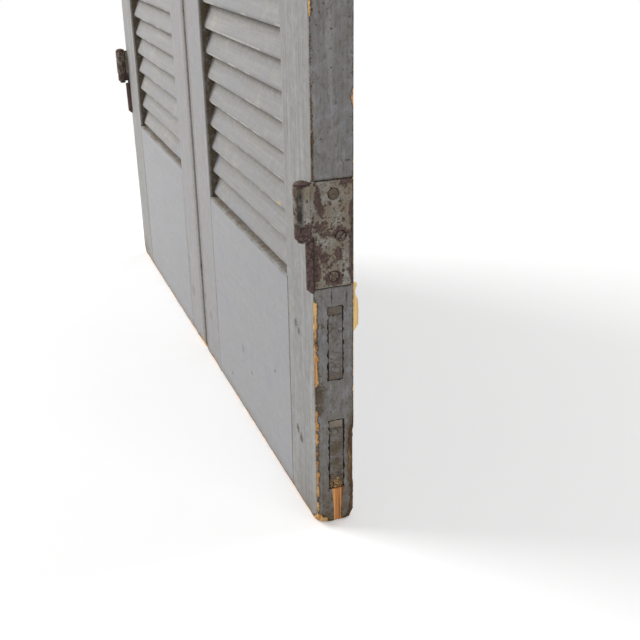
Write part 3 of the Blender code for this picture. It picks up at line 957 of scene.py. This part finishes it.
def hinge_stile(name, seed):
    """Outer upright, with its mortises, hinge gains and worn corners."""
    bm = box_grid(graded(OPEN_RIGHT, OUTER_X, BROAD_STEP, EDGE_CUTS), *hinge_stile_lines())
    start_layers(bm)
    mortises(bm)
    ease(bm, STILE_ROUND, [(OUTER_EDGE, FRONT_FACE), (OUTER_EDGE, BACK_FACE)])
    ease(bm, STILE_INNER_ROUND, [(INNER_EDGE, FRONT_FACE), (INNER_EDGE, BACK_FACE)], 2)
    seen = name == SEEN_LEAF
    front_chips = list(FRONT_CHIPS) if seen else random_chips(seed, 0.0, 0.38, 30, 0.0030)
    front_chips += random_chips(seed + 1, 0.39, SPRING_Z, 16, 0.0028)
    back_chips = list(BACK_CHIPS) if seen else []
    back_chips += random_chips(seed + 2, 0.34, SPRING_Z, 10, 0.0018)
    wear_arris(bm, OUTER_EDGE, FRONT_FACE, seed, 0.00035, front_chips)
    wear_arris(bm, OUTER_EDGE, BACK_FACE, seed + 3, 0.0006, back_chips)
    for face in (FRONT_FACE, BACK_FACE):
        wear_arris(bm, OUTER_EDGE, face, seed + 4, 0.0, FOOT_CHIPS, FOOT_BITE)
    wear_arris(bm, OUTER_EDGE, FLOOR_END, seed + 6, 0.0013, FOOT_CORNERS, FOOT_BITE)
    wear_arris(bm, FRONT_FACE, FLOOR_END, seed + 7, FLOOR_WEAR, FOOT_FRONT, FLOOR_BITE)
    wear_arris(bm, BACK_FACE, FLOOR_END, seed + 8, FLOOR_BACK_WEAR)
    bare_strip(bm)
    knock_corner(bm, (OUTER_X, FRONT, 0.0), (-1, 1, 1), FRONT_KNOCK)
    knock_corner(bm, (OUTER_X, BACK, 0.0), (-1, -1, 1), BACK_KNOCK)
    waver(bm, seed, STILE_WAVER)
    gain_recesses(bm)
    shade_and_soil_outer_edge(bm)
    dusty_foot(bm, 0.35)
    # The hinge stile's paint is darker than the rails', as painted shade of the light falling off across
    # the seen leaf.
    pale = tone(157, 156, 154)
    spots = STILE_SPOTS if seen else ()
    surface = aged_paint(name + "_stile_paint", Z, seed, pale, grit=0.22, streaky=0.75, spots=spots)
    add_piece(bm, name + "_hinge_stile_worn", surface, "painted_wood", name + "_hinge_stile")


def crowned(bm):
    """Draws the top of a meeting stile up to the arch."""
    for vert in bm.verts:
        share = max(0.0, (vert.co.z - CROWN_START) / (SPRING_Z - CROWN_START))
        vert.co.z += share * math.sqrt(ARCH_RADIUS**2 - vert.co.x**2)


def shade_and_soil_meeting_stile(bm):
    """Paints shade, with soiling, where the slats go in and beside the gap between the leaves."""
    soiled_and_shaded, aged_and_shaded = layers(bm, "grime_and_shade", "age")
    for vert in bm.verts:
        x, y, z = vert.co
        # Painted shade, with soiling, in the slat housings.
        if x > OPEN_LEFT - 0.0008 and HOUSED_FRONT < y < HOUSED_BACK:
            vert[soiled_and_shaded] = 1.2
            vert[aged_and_shaded] = 1.0
        # Painted shade beside the gap between the leaves, fading over a few millimetres.
        elif x < MEET_X + 0.0028:
            vert[soiled_and_shaded] = 0.4
            vert[aged_and_shaded] = 0.5
        elif x < MEET_X + 0.0078:
            vert[soiled_and_shaded] = 0.30
            vert[aged_and_shaded] = 0.30
        elif x > OPEN_LEFT - 0.0010 and z < BOTTOM_RAIL_TOP:
            vert[soiled_and_shaded] = 0.25


def meeting_stile(name, seed):
    """Inner upright, whose top end follows the arch."""
    bm = box_grid(
        graded(MEET_X, OPEN_LEFT, BROAD_STEP, EDGE_CUTS),
        graded(FRONT, BACK, COARSE_STEP, EDGE_CUTS),
        upright_lines(()),
    )
    start_layers(bm)
    crowned(bm)
    ease(bm, MEETING_ROUND, [(MEETING_EDGE, FRONT_FACE)], 4)
    slighter = [(MEETING_EDGE, BACK_FACE), (LOUVER_EDGE, FRONT_FACE), (LOUVER_EDGE, BACK_FACE)]
    ease(bm, MEETING_BACK_ROUND, slighter)
    chips = random_chips(seed + 1, 0.0, SPRING_Z, 4, 0.0014)
    wear_arris(bm, MEETING_EDGE, FRONT_FACE, seed, 0.0, chips)
    wear_arris(bm, MEETING_EDGE, BACK_FACE, seed + 2, 0.0004)
    wear_arris(bm, FRONT_FACE, FLOOR_END, seed + 5, FLOOR_WEAR, MEETING_FOOT[name], FLOOR_BITE)
    wear_arris(bm, BACK_FACE, FLOOR_END, seed + 6, FLOOR_BACK_WEAR)
    waver(bm, seed, BOARD_WAVER)
    shade_and_soil_meeting_stile(bm)
    dusty_foot(bm, 0.45)
    pale = tone(165, 163, 163)
    spots = MEETING_SPOTS[name]
    surface = aged_paint(name + "_meeting_paint", Z, seed, pale, grit=0.14, streaky=0.35, spots=spots)
    node = name + "_meeting_stile_louvers"
    add_piece(bm, name + "_meeting_stile_worn", surface, "painted_wood", node)


def tenon_end_wear(height, foot, top):
    """Pits near both ends of a tenon, and rot at the foot of the lowest one."""
    if not foot - NEAR < height < top + NEAR:
        return UNWORN
    if foot < 0.05 and height < foot + 0.009:
        return -0.05
    away = min(height - foot, top - height)
    return -0.65 if away < 0.005 else -1.1


def tenon_soil(height):
    """Dirt on a tenon's end: thick on the lowest one, but thin over its rotten foot."""
    if height > 0.12:
        return 0.6
    return 0.55 if height < 0.051 else 0.95


def shade_and_soil_rail(bm, seed, top, end, spans):
    """Browns the rail's ledge with dust and painted shade under the slats, and darkens its tenon ends."""
    worn, soiled_and_shaded, aged_and_shaded = layers(bm, "wear", "grime_and_shade", "age")
    for vert in bm.verts:
        x, y, z = vert.co
        if z > top - LEDGE_CREEP and x < end + 0.001:
            # Dust on the ledge, with painted shade growing towards the back under the lowest slat.
            behind = min(1.0, max(0.0, (y - FRONT - 0.0010) / 0.0040))
            vert[soiled_and_shaded] = 0.60 + 0.35 * behind + 0.35 * ripple(vert.co, seed, 75.0)
            vert[aged_and_shaded] = 0.20 + 0.35 * behind
        # Tenon ends: soiling, with the outer face's painted shade.
        elif x > end + 0.001:
            vert[soiled_and_shaded] = tenon_soil(z)
            vert[aged_and_shaded] = 1.0
            vert[worn] = max(tenon_end_wear(z, *span) for span in spans)


def rail(name, seed, low, high, tenons):
    """Straight rail, with the tenons that go through the hinge stile."""
    spans = [TENONS[tenon] for tenon in tenons]
    marks = [place for span in spans for place in span]
    end = OPEN_RIGHT - FIT
    bm = box_grid(
        graded(OPEN_LEFT + FIT, end, COARSE_STEP),
        graded(FRONT, BACK, COARSE_STEP, EDGE_CUTS, TENON_ACROSS[1:]),
        graded(low, high, COARSE_STEP, EDGE_CUTS, marks),
    )
    start_layers(bm)
    for span in spans:
        drawn_out(bm, (X, end, -1), (TENON_ACROSS, (Z, *span)), OUTER_X - end)
    under = (Z, low, 1)
    over = (Z, high, -1)
    corners = [(level, face) for level in (under, over) for face in (FRONT_FACE, BACK_FACE)]
    ease(bm, RAIL_ROUND, corners)
    scuffed = FLOOR_WEAR if low == 0.0 else RAIL_WEAR
    wear_arris(bm, over, BACK_FACE, seed + 1, RAIL_WEAR)
    wear_arris(bm, under, FRONT_FACE, seed + 2, scuffed, bite=FLOOR_BITE)
    wear_arris(bm, under, BACK_FACE, seed + 3, scuffed / 2)
    shade_and_soil_rail(bm, seed, high, end, spans)
    dusty_foot(bm, 0.45)
    waver(bm, seed, BOARD_WAVER)
    # The rails' paint is lighter than the hinge stile's, as painted light: on the seen leaf they stand
    # nearer the lamp on the left.
    pale = tone(168, 168, 170)
    spots = RAIL_SPOTS if name == SEEN_LEAF + "_bottom_rail" else ()
    surface = aged_paint(name + "_paint", X, seed, pale, grit=0.10, streaky=0.16, spots=spots)
    add_piece(bm, name + "_worn", surface, "painted_wood", name)


def wear_arch(bm, seed):
    """Wears the front and back corners of the arched head."""
    worn, aged_and_shaded = layers(bm, "wear", "age")
    depth = wear_profile(seed, 0.0006, random_chips(seed, 0.0, ARCH_RADIUS * 1.4, 22, 0.0034))
    for vert in bm.verts:
        x, y, z = vert.co
        radius = math.hypot(x, z - SPRING_Z - FIT)
        turn = math.atan2(z - SPRING_Z, x)
        beside = min(ARCH_RADIUS - radius, radius - ARCH_INNER)
        behind = min(y - FRONT, BACK - y)
        vert[worn] = (depth(turn * ARCH_RADIUS) - beside - behind) * 1000.0
        # Darker paint on the arch's outer face: the same painted shade as on the outer edge.
        vert[aged_and_shaded] = 1.0 if radius > ARCH_RADIUS - 0.0015 else 0.0


def arch_rail(name, seed):
    """Curved head: a board's section swung about the middle of the springing line."""
    bm = bmesh.new()
    bmesh.ops.create_grid(bm, x_segments=10, y_segments=6, size=0.5)
    for vert in bm.verts:
        radius = ARCH_INNER + (vert.co.x + 0.5) * (ARCH_RADIUS - ARCH_INNER)
        vert.co = (radius, FRONT + (vert.co.y + 0.5) * LEAF_THICK, SPRING_Z + FIT)
    bmesh.ops.spin(
        bm,
        geom=everything(bm),
        cent=(0, 0, SPRING_Z + FIT),
        axis=(0, -1, 0),
        angle=ARCH_SWEEP,
        steps=ARCH_STEPS,
        use_merge=False,
    )
    bmesh.ops.remove_doubles(bm, verts=bm.verts, dist=NEAR)
    cut_off(bm, (OPEN_LEFT + FIT, 0, 0), (-1, 0, 0))
    start_layers(bm)
    wear_arch(bm, seed)
    pale = tone(164, 163, 164)
    surface = aged_paint(name + "_arch_paint", X, seed, pale, grit=0.18, streaky=0.35)
    add_piece(bm, name + "_arch_rail_worn", surface, "painted_wood", name + "_arch_rail")


# Slats.

# Share of a slat's depth over which its paint is darkened as painted shade under the slat above.
SLAT_SHADE = (0.20, 0.40)


def slat_numbers():
    """Centreline length of a slat, the rise of its section and its middle above its lowest point."""
    reach = SLAT_THICK / 2 * math.sin(SLAT_TILT)
    depth = LEAF_THICK - SLAT_SETBACK - SLAT_BACK_SETBACK - 2 * reach
    length = depth / math.cos(SLAT_TILT)
    climb = length * math.sin(SLAT_TILT)
    middle = (FRONT + SLAT_SETBACK + reach + depth / 2, reach + climb / 2)
    return length, climb + 2 * reach, middle


def slat_levels(floor, ceiling):
    rise = slat_numbers()[1]
    room = ceiling - floor - 2 * SLAT_RAIL_SPACE - rise
    spaces = max(1, round(room / SLAT_PITCH))
    return [floor + SLAT_RAIL_SPACE + number * room / spaces for number in range(spaces + 1)]


def shade_and_highlight_slat(bm, length):
    """Painted shade under the next slat and a painted highlight on the nose, before the slat is tilted."""
    worn, soiled_and_shaded, nose_highlight = layers(bm, "wear", "grime_and_shade", "nose_highlight")
    for vert in bm.verts:
        back = vert.co.y / length + 0.5
        nose = back < 0.0 and 0.15 < vert.co.z / SLAT_THICK < 0.40
        vert[worn] = -2.6 if back < 0.12 else UNWORN
        # Painted shade under the slat above, and a painted highlight on the nose.
        vert[soiled_and_shaded] = 0.44 if back > SLAT_SHADE[0] + 0.01 else 0.05
        vert[nose_highlight] = 1.0 if nose else 0.0


def one_slat(seed, level):
    """A round-nosed slat across the opening, whose right end follows the arch."""
    length, _, middle = slat_numbers()
    picker = random.Random(seed)
    bm = unit_box()
    bmesh.ops.scale(bm, verts=bm.verts, vec=(1.0, length + SLAT_THICK, SLAT_THICK))
    rounded(bm, edges_along(bm, X), SLAT_NOSE, 4)
    for share in SLAT_SHADE:
        place = (0, (share - 0.5) * length, 0)
        bmesh.ops.bisect_plane(bm, geom=everything(bm), plane_co=place, plane_no=(0, 1, 0))
    shade_and_highlight_slat(bm, length)
    tilt = SLAT_TILT + math.radians(picker.uniform(-0.7, 0.7))
    bmesh.ops.rotate(bm, verts=bm.verts, matrix=Matrix.Rotation(tilt, 3, "X"))
    shift = picker.uniform(-0.0003, 0.0003)
    bmesh.ops.translate(bm, verts=bm.verts, vec=(0.5, middle[0], level + middle[1] + shift))
    left = OPEN_LEFT - SLAT_SEAT
    for vert in bm.verts:
        over = max(0.0, vert.co.z - SPRING_Z)
        right = math.sqrt(max(0.0, (ARCH_INNER + SLAT_SEAT) ** 2 - over**2))
        vert.co.x = left + vert.co.x * (right - left)
    return bm


def slat_bank(name, seed, floor, ceiling, surface):
    bank = bmesh.new()
    for number, level in enumerate(slat_levels(floor, ceiling)):
        mesh = mesh_of(one_slat(seed * 100 + number, level), "slat")
        bank.from_mesh(mesh)
        bpy.data.meshes.remove(mesh)
    add_piece(bank, name, surface, "painted_wood")


def slat_banks(name, seed):
    pale = tone(158, 157, 156)
    spots = SLAT_SPOTS if name == SEEN_LEAF else ()
    surface = aged_paint(name + "_slat_paint", X, seed, pale, 0.10, 0.40, spots, cloudy=0.95)
    crown = SPRING_Z + math.sqrt(ARCH_INNER**2 - (OPEN_LEFT + SHORTEST_SLAT) ** 2)
    slat_bank(name + "_lower_slats", seed, BOTTOM_RAIL_TOP, MID_RAIL_Z, surface)
    slat_bank(name + "_upper_slats", seed + 1, MID_RAIL_TOP, crown, surface)


# Wedges.


def wedge(name, face, away, seed, rot, pale, pitted):
    """A wedge beside a tenon, thick at the outer edge and thin inside."""
    near = face + away * 0.0001
    far = face + away * WEDGE_THICK
    bm = box_grid(
        graded(OUTER_X - WEDGE_LENGTH + 0.002, OUTER_X, 0.012, (0.0012,)),
        graded(*TENON_ACROSS[1:], FINE_STEP, (0.0005,)),
        graded(min(near, far), max(near, far), FINE_STEP),
    )
    for vert in bm.verts:
        share = (vert.co.x - OUTER_X + WEDGE_LENGTH) / WEDGE_LENGTH
        vert.co.z = near + (vert.co.z - near) * share
        if vert.co.x > OUTER_X - 1e-5:
            crumb = 0.5 + 0.5 * noise.noise(vert.co * 420.0 + Vector((seed, 0, 0)))
            vert.co.x -= 0.0003 + crumb * (0.0004 + 0.0016 * rot)
    start_layers(bm, grime_and_shade=rot)
    surface = wedge_finish(name + "_finish", seed, pale, pitted)
    add_piece(bm, name + "_aged", surface, "wedge_wood", name)


def wedges(name, seed):
    picker = random.Random(seed)
    for tenon, (foot, top) in TENONS.items():
        lowest = tenon == "bottom_rail_lower"
        pale, pitted = (tone(150, 141, 128), 0.56) if lowest else (tone(122, 117, 112), 0.49)
        for place, face, away in (("under", foot, -1), ("over", top, 1)):
            rot = 1.0 if lowest and place == "under" else picker.uniform(0.05, 0.2)
            wedge(f"{name}_{tenon}_wedge_{place}", face, away, picker.uniform(1, 9), rot, pale, pitted)


# Hinges, pins and screws.

# Rust patches on a plate: depth from the leaf's front, height from the plate's middle, half sizes.
SEEN_RUST = (
    (0.0045, 0.0300, 0.0030, 0.0100),
    (0.0070, 0.0210, 0.0025, 0.0060),
    (0.0280, 0.0420, 0.0060, 0.0030),
    (0.0040, -0.0120, 0.0035, 0.0060),
    (0.0090, -0.0190, 0.0045, 0.0060),
    (0.0220, -0.0170, 0.0030, 0.0060),
    (0.0030, -0.0300, 0.0030, 0.0130),
    (0.0175, -0.0370, 0.0075, 0.0070),
    (0.0330, -0.0150, 0.0018, 0.0300),
    (0.0240, 0.0010, 0.0060, 0.0055),
    (0.0330, 0.0180, 0.0020, 0.0080),
)


def random_rust(seed):
    picker = random.Random(seed)
    patches = []
    for _ in SEEN_RUST:
        place = (picker.uniform(0.0, 0.034), picker.uniform(-0.043, 0.043))
        patches.append((*place, picker.uniform(0.002, 0.006), picker.uniform(0.003, 0.011)))
    return patches


def barrel_shape(level):
    """Knuckle with soft ends, a little slimmer over its bare lower part."""
    low = level + 0.0001
    high = level + HINGE_HALF
    soft = KNUCKLE_SOFT
    wide = KNUCKLE_RADIUS
    profile = [(0.0, low), (wide - 2.0 * soft, low), (wide - 0.9 * soft, low + 0.5 * soft)]
    for step in range(15):
        up = low + soft + (high - low - 2 * soft) * step / 14
        slim = KNUCKLE_SLIM if up < level + KNUCKLE_BARE else 0.0
        profile.append((wide - slim, up))
    profile += [(wide - 0.3 * soft, high - 0.3 * soft), (wide - soft, high), (0.0, high)]
    return turned(profile, (AXIS_X, AXIS_Y, 0.0), 32)


def roll_shape(level):
    """Rounded front edge of the plate's lower half, drawn to a point under it."""
    low = level - HINGE_HALF
    high = level - ROLL_TOP_DROP
    profile = [(0.0, low - ROLL_TIP), (0.0012, low - ROLL_TIP + 0.0006), (0.0030, low - 0.0010)]
    profile += [(ROLL_RADIUS, low + (high - 0.0006 - low) * step / 12) for step in range(13)]
    profile += [(ROLL_RADIUS - 0.0006, high), (0.0, high)]
    bm = turned(profile, (0.0, 0.0, 0.0), 24)
    for vert in bm.verts:
        share = (vert.co.z - low) / (high - low)
        vert.co.y *= ROLL_REACH / ROLL_RADIUS * (0.90 + 0.10 * share)
    bmesh.ops.translate(bm, verts=bm.verts, vec=(ROLL_X, FRONT - FIT, 0.0))
    cut_off(bm, (0, FRONT - FIT + 0.0001, 0), (0, 1, 0))
    return bm


def plate_shape(level):
    back = PLATE_BACK - 0.0002
    low = level - HINGE_HALF
    high = level + HINGE_HALF
    bm = box_grid(
        (OUTER_X - PLATE_THICK, OUTER_X - 0.0007, OUTER_X),
        graded(FRONT - 0.0020, back, FINE_STEP, (0.0006,)),
        graded(low, high, FINE_STEP, (0.0006,)),
    )
    rim = [(OUTER_EDGE, side) for side in ((Y, back, -1), (Z, low, 1), (Z, high, -1))]
    ease(bm, PLATE_ROUND, rim, 2)
    return bm


def countersink(centre, ring):
    rim = SCREW_HEAD_RADIUS + ring
    profile = [(0.0, -HOLE_DEPTH), (HOLE_RADIUS, -HOLE_DEPTH), (HOLE_RADIUS, -HOLE_RADIUS)]
    profile += [(rim - 0.0003, -0.0006), (rim, 0.0), (rim, 0.004), (0.0, 0.004)]
    return turned(profile, centre, 20, "X")


def screw_place(level, which):
    up, deep = SCREWS[which]
    return OUTER_X, FRONT + deep, level + up


def barrel_turn(place):
    """Angle round the knuckle, from the back of the leaf past its outer side to its front."""
    turn = math.atan2(place.x - AXIS_X, place.y - AXIS_Y)
    return turn if turn > -0.5 else turn + 2 * math.pi


def rust_value(place, level, patches, seed):
    """How far the paint has gone at a place on a hinge: nought is half way."""
    deep = place.y - FRONT
    up = place.z - level
    if deep < -0.0012 and up > 0.0:
        strip = (-0.10 if barrel_turn(place) > 2.35 else -0.75) + 0.25 * ripple(place, seed, 170.0)
        ragged_up = up + 0.0040 * ripple(place, seed, 120.0)
        foot = 0.9 - (ragged_up / 0.0120) ** 4
        return max(strip, foot, 0.9 if up > HINGE_HALF - 0.0008 else -1.0)
    most = -0.34 + 0.30 * ripple(place, seed, 70.0)
    for at_deep, at_up, half_deep, half_up in patches:
        away = ((deep - at_deep) / half_deep) ** 2 + ((up - at_up) / half_up) ** 2
        most = max(most, 0.55 - 0.60 * away)
    return max(most, 0.65) if deep < 0.0010 and up < 0.0 else most


def seam_dirt_and_shade(place, level, seed):
    """Black soiling down the knuckle, and painted shade in the creases and, with soiling, the countersinks.
    """
    deep = place.y - FRONT
    up = place.z - level
    if deep < -0.003 and 0.008 < up < HINGE_HALF - 0.001:
        beside = abs(barrel_turn(place) - 2.12) / 0.38
        return 1.05 * math.exp(-(beside**4)) * (0.85 + 0.5 * ripple(place, seed, 160.0))
    # Painted shade in the creases beside the rolled edge and where the knuckle meets the plate.
    if place.x > OUTER_X - 0.0004:
        if up < 0.0 and abs(deep + FIT) < 0.0005:
            return 0.9
        if up > 0.0 and abs(deep + 0.0025) < 0.0006:
            return 0.4 + 0.6 * noise.noise(Vector((up * 240.0, seed, 0.0)))
        return 0.0
    # Painted shade, with soiling, on the countersink walls.
    return 0.62 + 1.1 * noise.noise(place * 170.0) if deep > 0.002 else 0.0


def hinge(name, level, patches, seed):
    """Half hinge: plate, knuckle and rolled edge in one, with its bore and countersinks."""
    low = (OUTER_X - PLATE_THICK, AXIS_Y, level + 0.0006)
    high = (OUTER_X, FRONT, level + HINGE_HALF - 0.0005)
    steps = [("UNION", shape) for shape in (solid_box(low, high), barrel_shape(level), roll_shape(level))]
    for which in SCREWS:
        hollow = countersink(screw_place(level, which), 0.0008 if which == "upper" else 0.0007)
        steps.append(("DIFFERENCE", hollow))
    foot = level - 0.01
    top = level + HINGE_HALF + 0.01
    bore = [(0.0, foot), (PIN_RADIUS + FIT, foot), (PIN_RADIUS + FIT, top), (0.0, top)]
    steps.append(("DIFFERENCE", turned(bore, (AXIS_X, AXIS_Y, 0.0), 20)))
    bm = carved(plate_shape(level), steps)
    waver(bm, seed, IRON_WAVER, 160.0)
    rusted, soiled_and_shaded = layers(bm, "rust", "grime_and_shade")
    for vert in bm.verts:
        vert[rusted] = rust_value(vert.co, level, patches, seed)
        vert[soiled_and_shaded] = seam_dirt_and_shade(vert.co, level, seed)
    add_piece(bm, name + "_hinge_worn", rusted_iron(name + "_iron", seed), "hinge_iron", name + "_hinge")


def pin(name, level, surface):
    """Pin with a low head over the knuckle and a spread foot under it."""
    seat = level + HINGE_HALF + FIT
    foot = level - PIN_FOOT_DROP
    head = PIN_HEAD_RADIUS
    spread = PIN_FOOT_RADIUS
    profile = [(0.0, seat + 0.0025), (0.0020, seat + 0.0023), (0.0038, seat + 0.0018)]
    profile += [(0.0053, seat + 0.0012), (head, seat + 0.0006), (head - 0.0002, seat)]
    profile += [(PIN_RADIUS, seat), (PIN_RADIUS, level - 0.0005), (spread - 0.0002, level - 0.0008)]
    profile += [(spread, level - 0.0012), (spread - 0.0002, foot + 0.0006)]
    profile += [(spread - 0.0010, foot + 0.0001), (spread - 0.0016, foot), (0.0, foot)]
    bm = turned(profile, (AXIS_X, AXIS_Y, 0.0), 24)
    add_piece(bm, name + "_pin_worn", surface, "pin_iron", name + "_pin", body="hinge_pins")


def screw(name, centre, angle, slot_depth, surface):
    """Slotted countersunk screw, its slot turned by an angle."""
    rim = SCREW_HEAD_RADIUS
    profile = [(0.0, -SCREW_LENGTH), (SCREW_SHANK, -0.019), (SCREW_SHANK, -0.0022)]
    profile += [(rim - 0.0002, -0.0002), (rim - 0.0005, 0.0), (0.0020, 0.0002), (0.0, 0.00025)]
    slot = solid_box((-slot_depth, -0.006, -SLOT_HALF), (0.004, 0.006, SLOT_HALF))
    bmesh.ops.rotate(slot, verts=slot.verts, matrix=Matrix.Rotation(angle, 3, "X"))
    bm = carved(turned(profile, (0.0, 0.0, 0.0), 20, "X"), [("DIFFERENCE", slot)])
    bmesh.ops.translate(bm, verts=bm.verts, vec=(centre[0] - SCREW_SUNK, centre[1], centre[2]))
    add_piece(bm, name + "_worn", surface, "screw_steel", name)


# Turn of the slots seen in the photograph.
SEEN_SLOTS = {"upper": 0.3, "centre": 0.8, "lower": -0.75}


def screws(name, level, seed, painted, bare):
    """Three screws: paint fills the upper one."""
    picker = random.Random(seed)
    for which in SCREWS:
        turn = picker.uniform(-1.2, 1.2)
        angle = SEEN_SLOTS[which] if name == SEEN_LEAF + "_bottom" else turn
        slot_depth, surface = (0.0002, painted) if which == "upper" else (0.0009, bare)
        screw(f"{name}_screw_{which}", screw_place(level, which), angle, slot_depth, surface)


# Outline of the splinter: height, and how far it stands out behind the leaf.
SPLINTER = (
    (0.1865, 0.0004),
    (0.1915, 0.0050),
    (0.2060, 0.0052),
    (0.2140, 0.0044),
    (0.2185, 0.0024),
    (0.2225, 0.0014),
    (0.2258, 0.0030),
    (0.2288, 0.0034),
    (0.2305, 0.0006),
)
SPLINTER_REACH = 0.0040


def splinter_reach(height):
    for (low, near), (high, far) in zip(SPLINTER, SPLINTER[1:]):
        if height <= high:
            return near + (far - near) * (height - low) / (high - low)
    return SPLINTER[-1][1]


def splinter():
    """A sliver torn from the back corner of the right leaf, under its lowest hinge."""
    heights = [height for height, _ in SPLINTER]
    bm = box_grid(
        graded(OUTER_X - 0.0032, OUTER_X - 0.0006, 0.0013),
        graded(BACK - 0.0020, BACK + SPLINTER_REACH, 0.0010, marks=(BACK,)),
        graded(heights[0], heights[-1], 0.0012, marks=heights),
    )
    for vert in bm.verts:
        _, y, z = vert.co
        out = max(0.0, y - BACK) / SPLINTER_REACH
        reach = splinter_reach(z)
        ragged = 0.0003 * noise.noise(Vector((0.0, 0.0, z * 500.0)))
        vert.co.y = min(y, BACK) + out * max(0.0003, reach + ragged)
        vert.co.x -= out * reach * 0.35 + 0.0003 * noise.noise(vert.co * 300.0)
    add_piece(bm, "right_back_splinter", fresh_wood(), "painted_wood")


def leaf(name, seed):
    hinge_stile(name, seed)
    meeting_stile(name, seed + 10)
    lowest = ("bottom_rail_lower", "bottom_rail_upper")
    rail(name + "_bottom_rail", seed + 20, 0.0, BOTTOM_RAIL_TOP, lowest)
    rail(name + "_mid_rail", seed + 30, MID_RAIL_Z, MID_RAIL_TOP, ("mid_rail",))
    arch_rail(name, seed + 40)
    slat_banks(name, seed + 50)
    wedges(name, seed + 60)


def fittings(name, seed, pin_surface, painted_screw, bare_screw):
    for number, (place, level) in enumerate(HINGE_LEVELS.items()):
        where = f"{name}_{place}"
        seen = where == SEEN_LEAF + "_bottom"
        hinge(where, level, SEEN_RUST if seen else random_rust(seed + number), seed + number)
        pin(where, level, pin_surface)
        screws(where, level, seed + number, painted_screw, bare_screw)


def doors():
    pin_surface = pin_finish()
    painted_screw = screw_finish("paint_filled_screw", tone(72, 59, 44), tone(112, 95, 73), 0.0)
    bare_screw = screw_finish("dark_screw", tone(58, 46, 40), tone(128, 112, 98), 0.35)
    for number, name in enumerate(SIDES):
        leaf(name, 3 + 100 * number)
        fittings(name, 7 + 100 * number, pin_surface, painted_screw, bare_screw)
    splinter()


# Stage, light and camera.


def seen_rays(tree):
    """1 for what the camera sees, straight or in a reflection."""
    kinds = ("Is Camera Ray", "Is Glossy Ray", "Is Transmission Ray")
    straight, glossy, through = (Field(tree, "ShaderNodeLightPath", output=kind) for kind in kinds)
    return straight.larger(glossy.larger(through))


def floor_finish():
    """White floor that keeps a soft shadow."""
    made, place, shader = blank_material("pale_floor")
    tree = made.node_tree
    shader.inputs["Base Color"].default_value = (0.62, 0.62, 0.62, 1.0)
    shader.inputs["Roughness"].default_value = 0.9
    glow = Field(tree, "ShaderNodeEmission", {"Color": (1, 1, 1, 1), "Strength": 1.0})
    lift = Field(tree, "ShaderNodeEmission", {"Color": (1, 1, 1, 1), "Strength": 0.15})
    chalk = Field(tree, "ShaderNodeBsdfDiffuse", {"Color": (0.97, 0.97, 0.97, 1.0)})
    near = Field(tree, "ShaderNodeAddShader", {0: chalk, 1: lift})
    seen = Field(tree, "ShaderNodeMixShader", {0: place.length().ramp(*SHADOW_FADE), 1: near, 2: glow})
    choice = Field(tree, "ShaderNodeMixShader", {0: seen_rays(tree), 1: shader.outputs[0], 2: seen})
    tree.links.new(choice.socket, tree.nodes["Material Output"].inputs["Surface"])
    return made


def floor():
    bm = bmesh.new()
    bmesh.ops.create_grid(bm, x_segments=2, y_segments=2, size=FLOOR_REACH)
    bmesh.ops.translate(bm, verts=bm.verts, vec=(0, 0, -FLOOR_DROP))
    obj = linked("floor", mesh_of(bm, "floor"))
    obj.data.materials.append(floor_finish())


def world():
    """Even soft light, and a white background for what the camera and reflections see."""
    made = bpy.data.worlds.new("studio")
    made.use_nodes = True
    background = made.node_tree.nodes["Background"]
    background.inputs["Color"].default_value = (1, 1, 1, 1)
    strength = seen_rays(made.node_tree).between(SKY_LIGHT, 1.0)
    made.node_tree.links.new(strength.socket, background.inputs["Strength"])
    bpy.context.scene.world = made


def aimed(name, data, place, turn):
    """Puts a lamp or the camera in its place."""
    obj = linked(name, data)
    obj.location = place
    obj.rotation_mode = "QUATERNION"
    obj.rotation_quaternion = turn
    return obj


def lamp(name, place, target, power):
    data = bpy.data.lights.new(name, "AREA")
    data.shape = "SQUARE"
    data.size = LAMP_SIZE
    data.energy = power
    aimed(name, data, place, (Vector(target) - Vector(place)).to_track_quat("-Z", "Y"))


def camera():
    data = bpy.data.cameras.new("camera")
    data.lens = CAMERA_LENS
    data.sensor_width = CAMERA_SENSOR
    flat = math.cos(CAMERA_ELEVATION)
    aside = math.sin(CAMERA_AZIMUTH) * flat
    ahead = math.cos(CAMERA_AZIMUTH) * flat
    look = Vector((-aside, ahead, -math.sin(CAMERA_ELEVATION)))
    turn = look.to_track_quat("-Z", "Y") @ Quaternion((0, 0, 1), CAMERA_ROLL)
    bpy.context.scene.camera = aimed("camera", data, CAMERA_PLACE, turn)


def studio():
    floor()
    world()
    for name, (place, target, power) in LAMPS.items():
        lamp(name, place, target, power)
    camera()
    bpy.context.scene.view_settings.view_transform = "Standard"


doors()
studio()
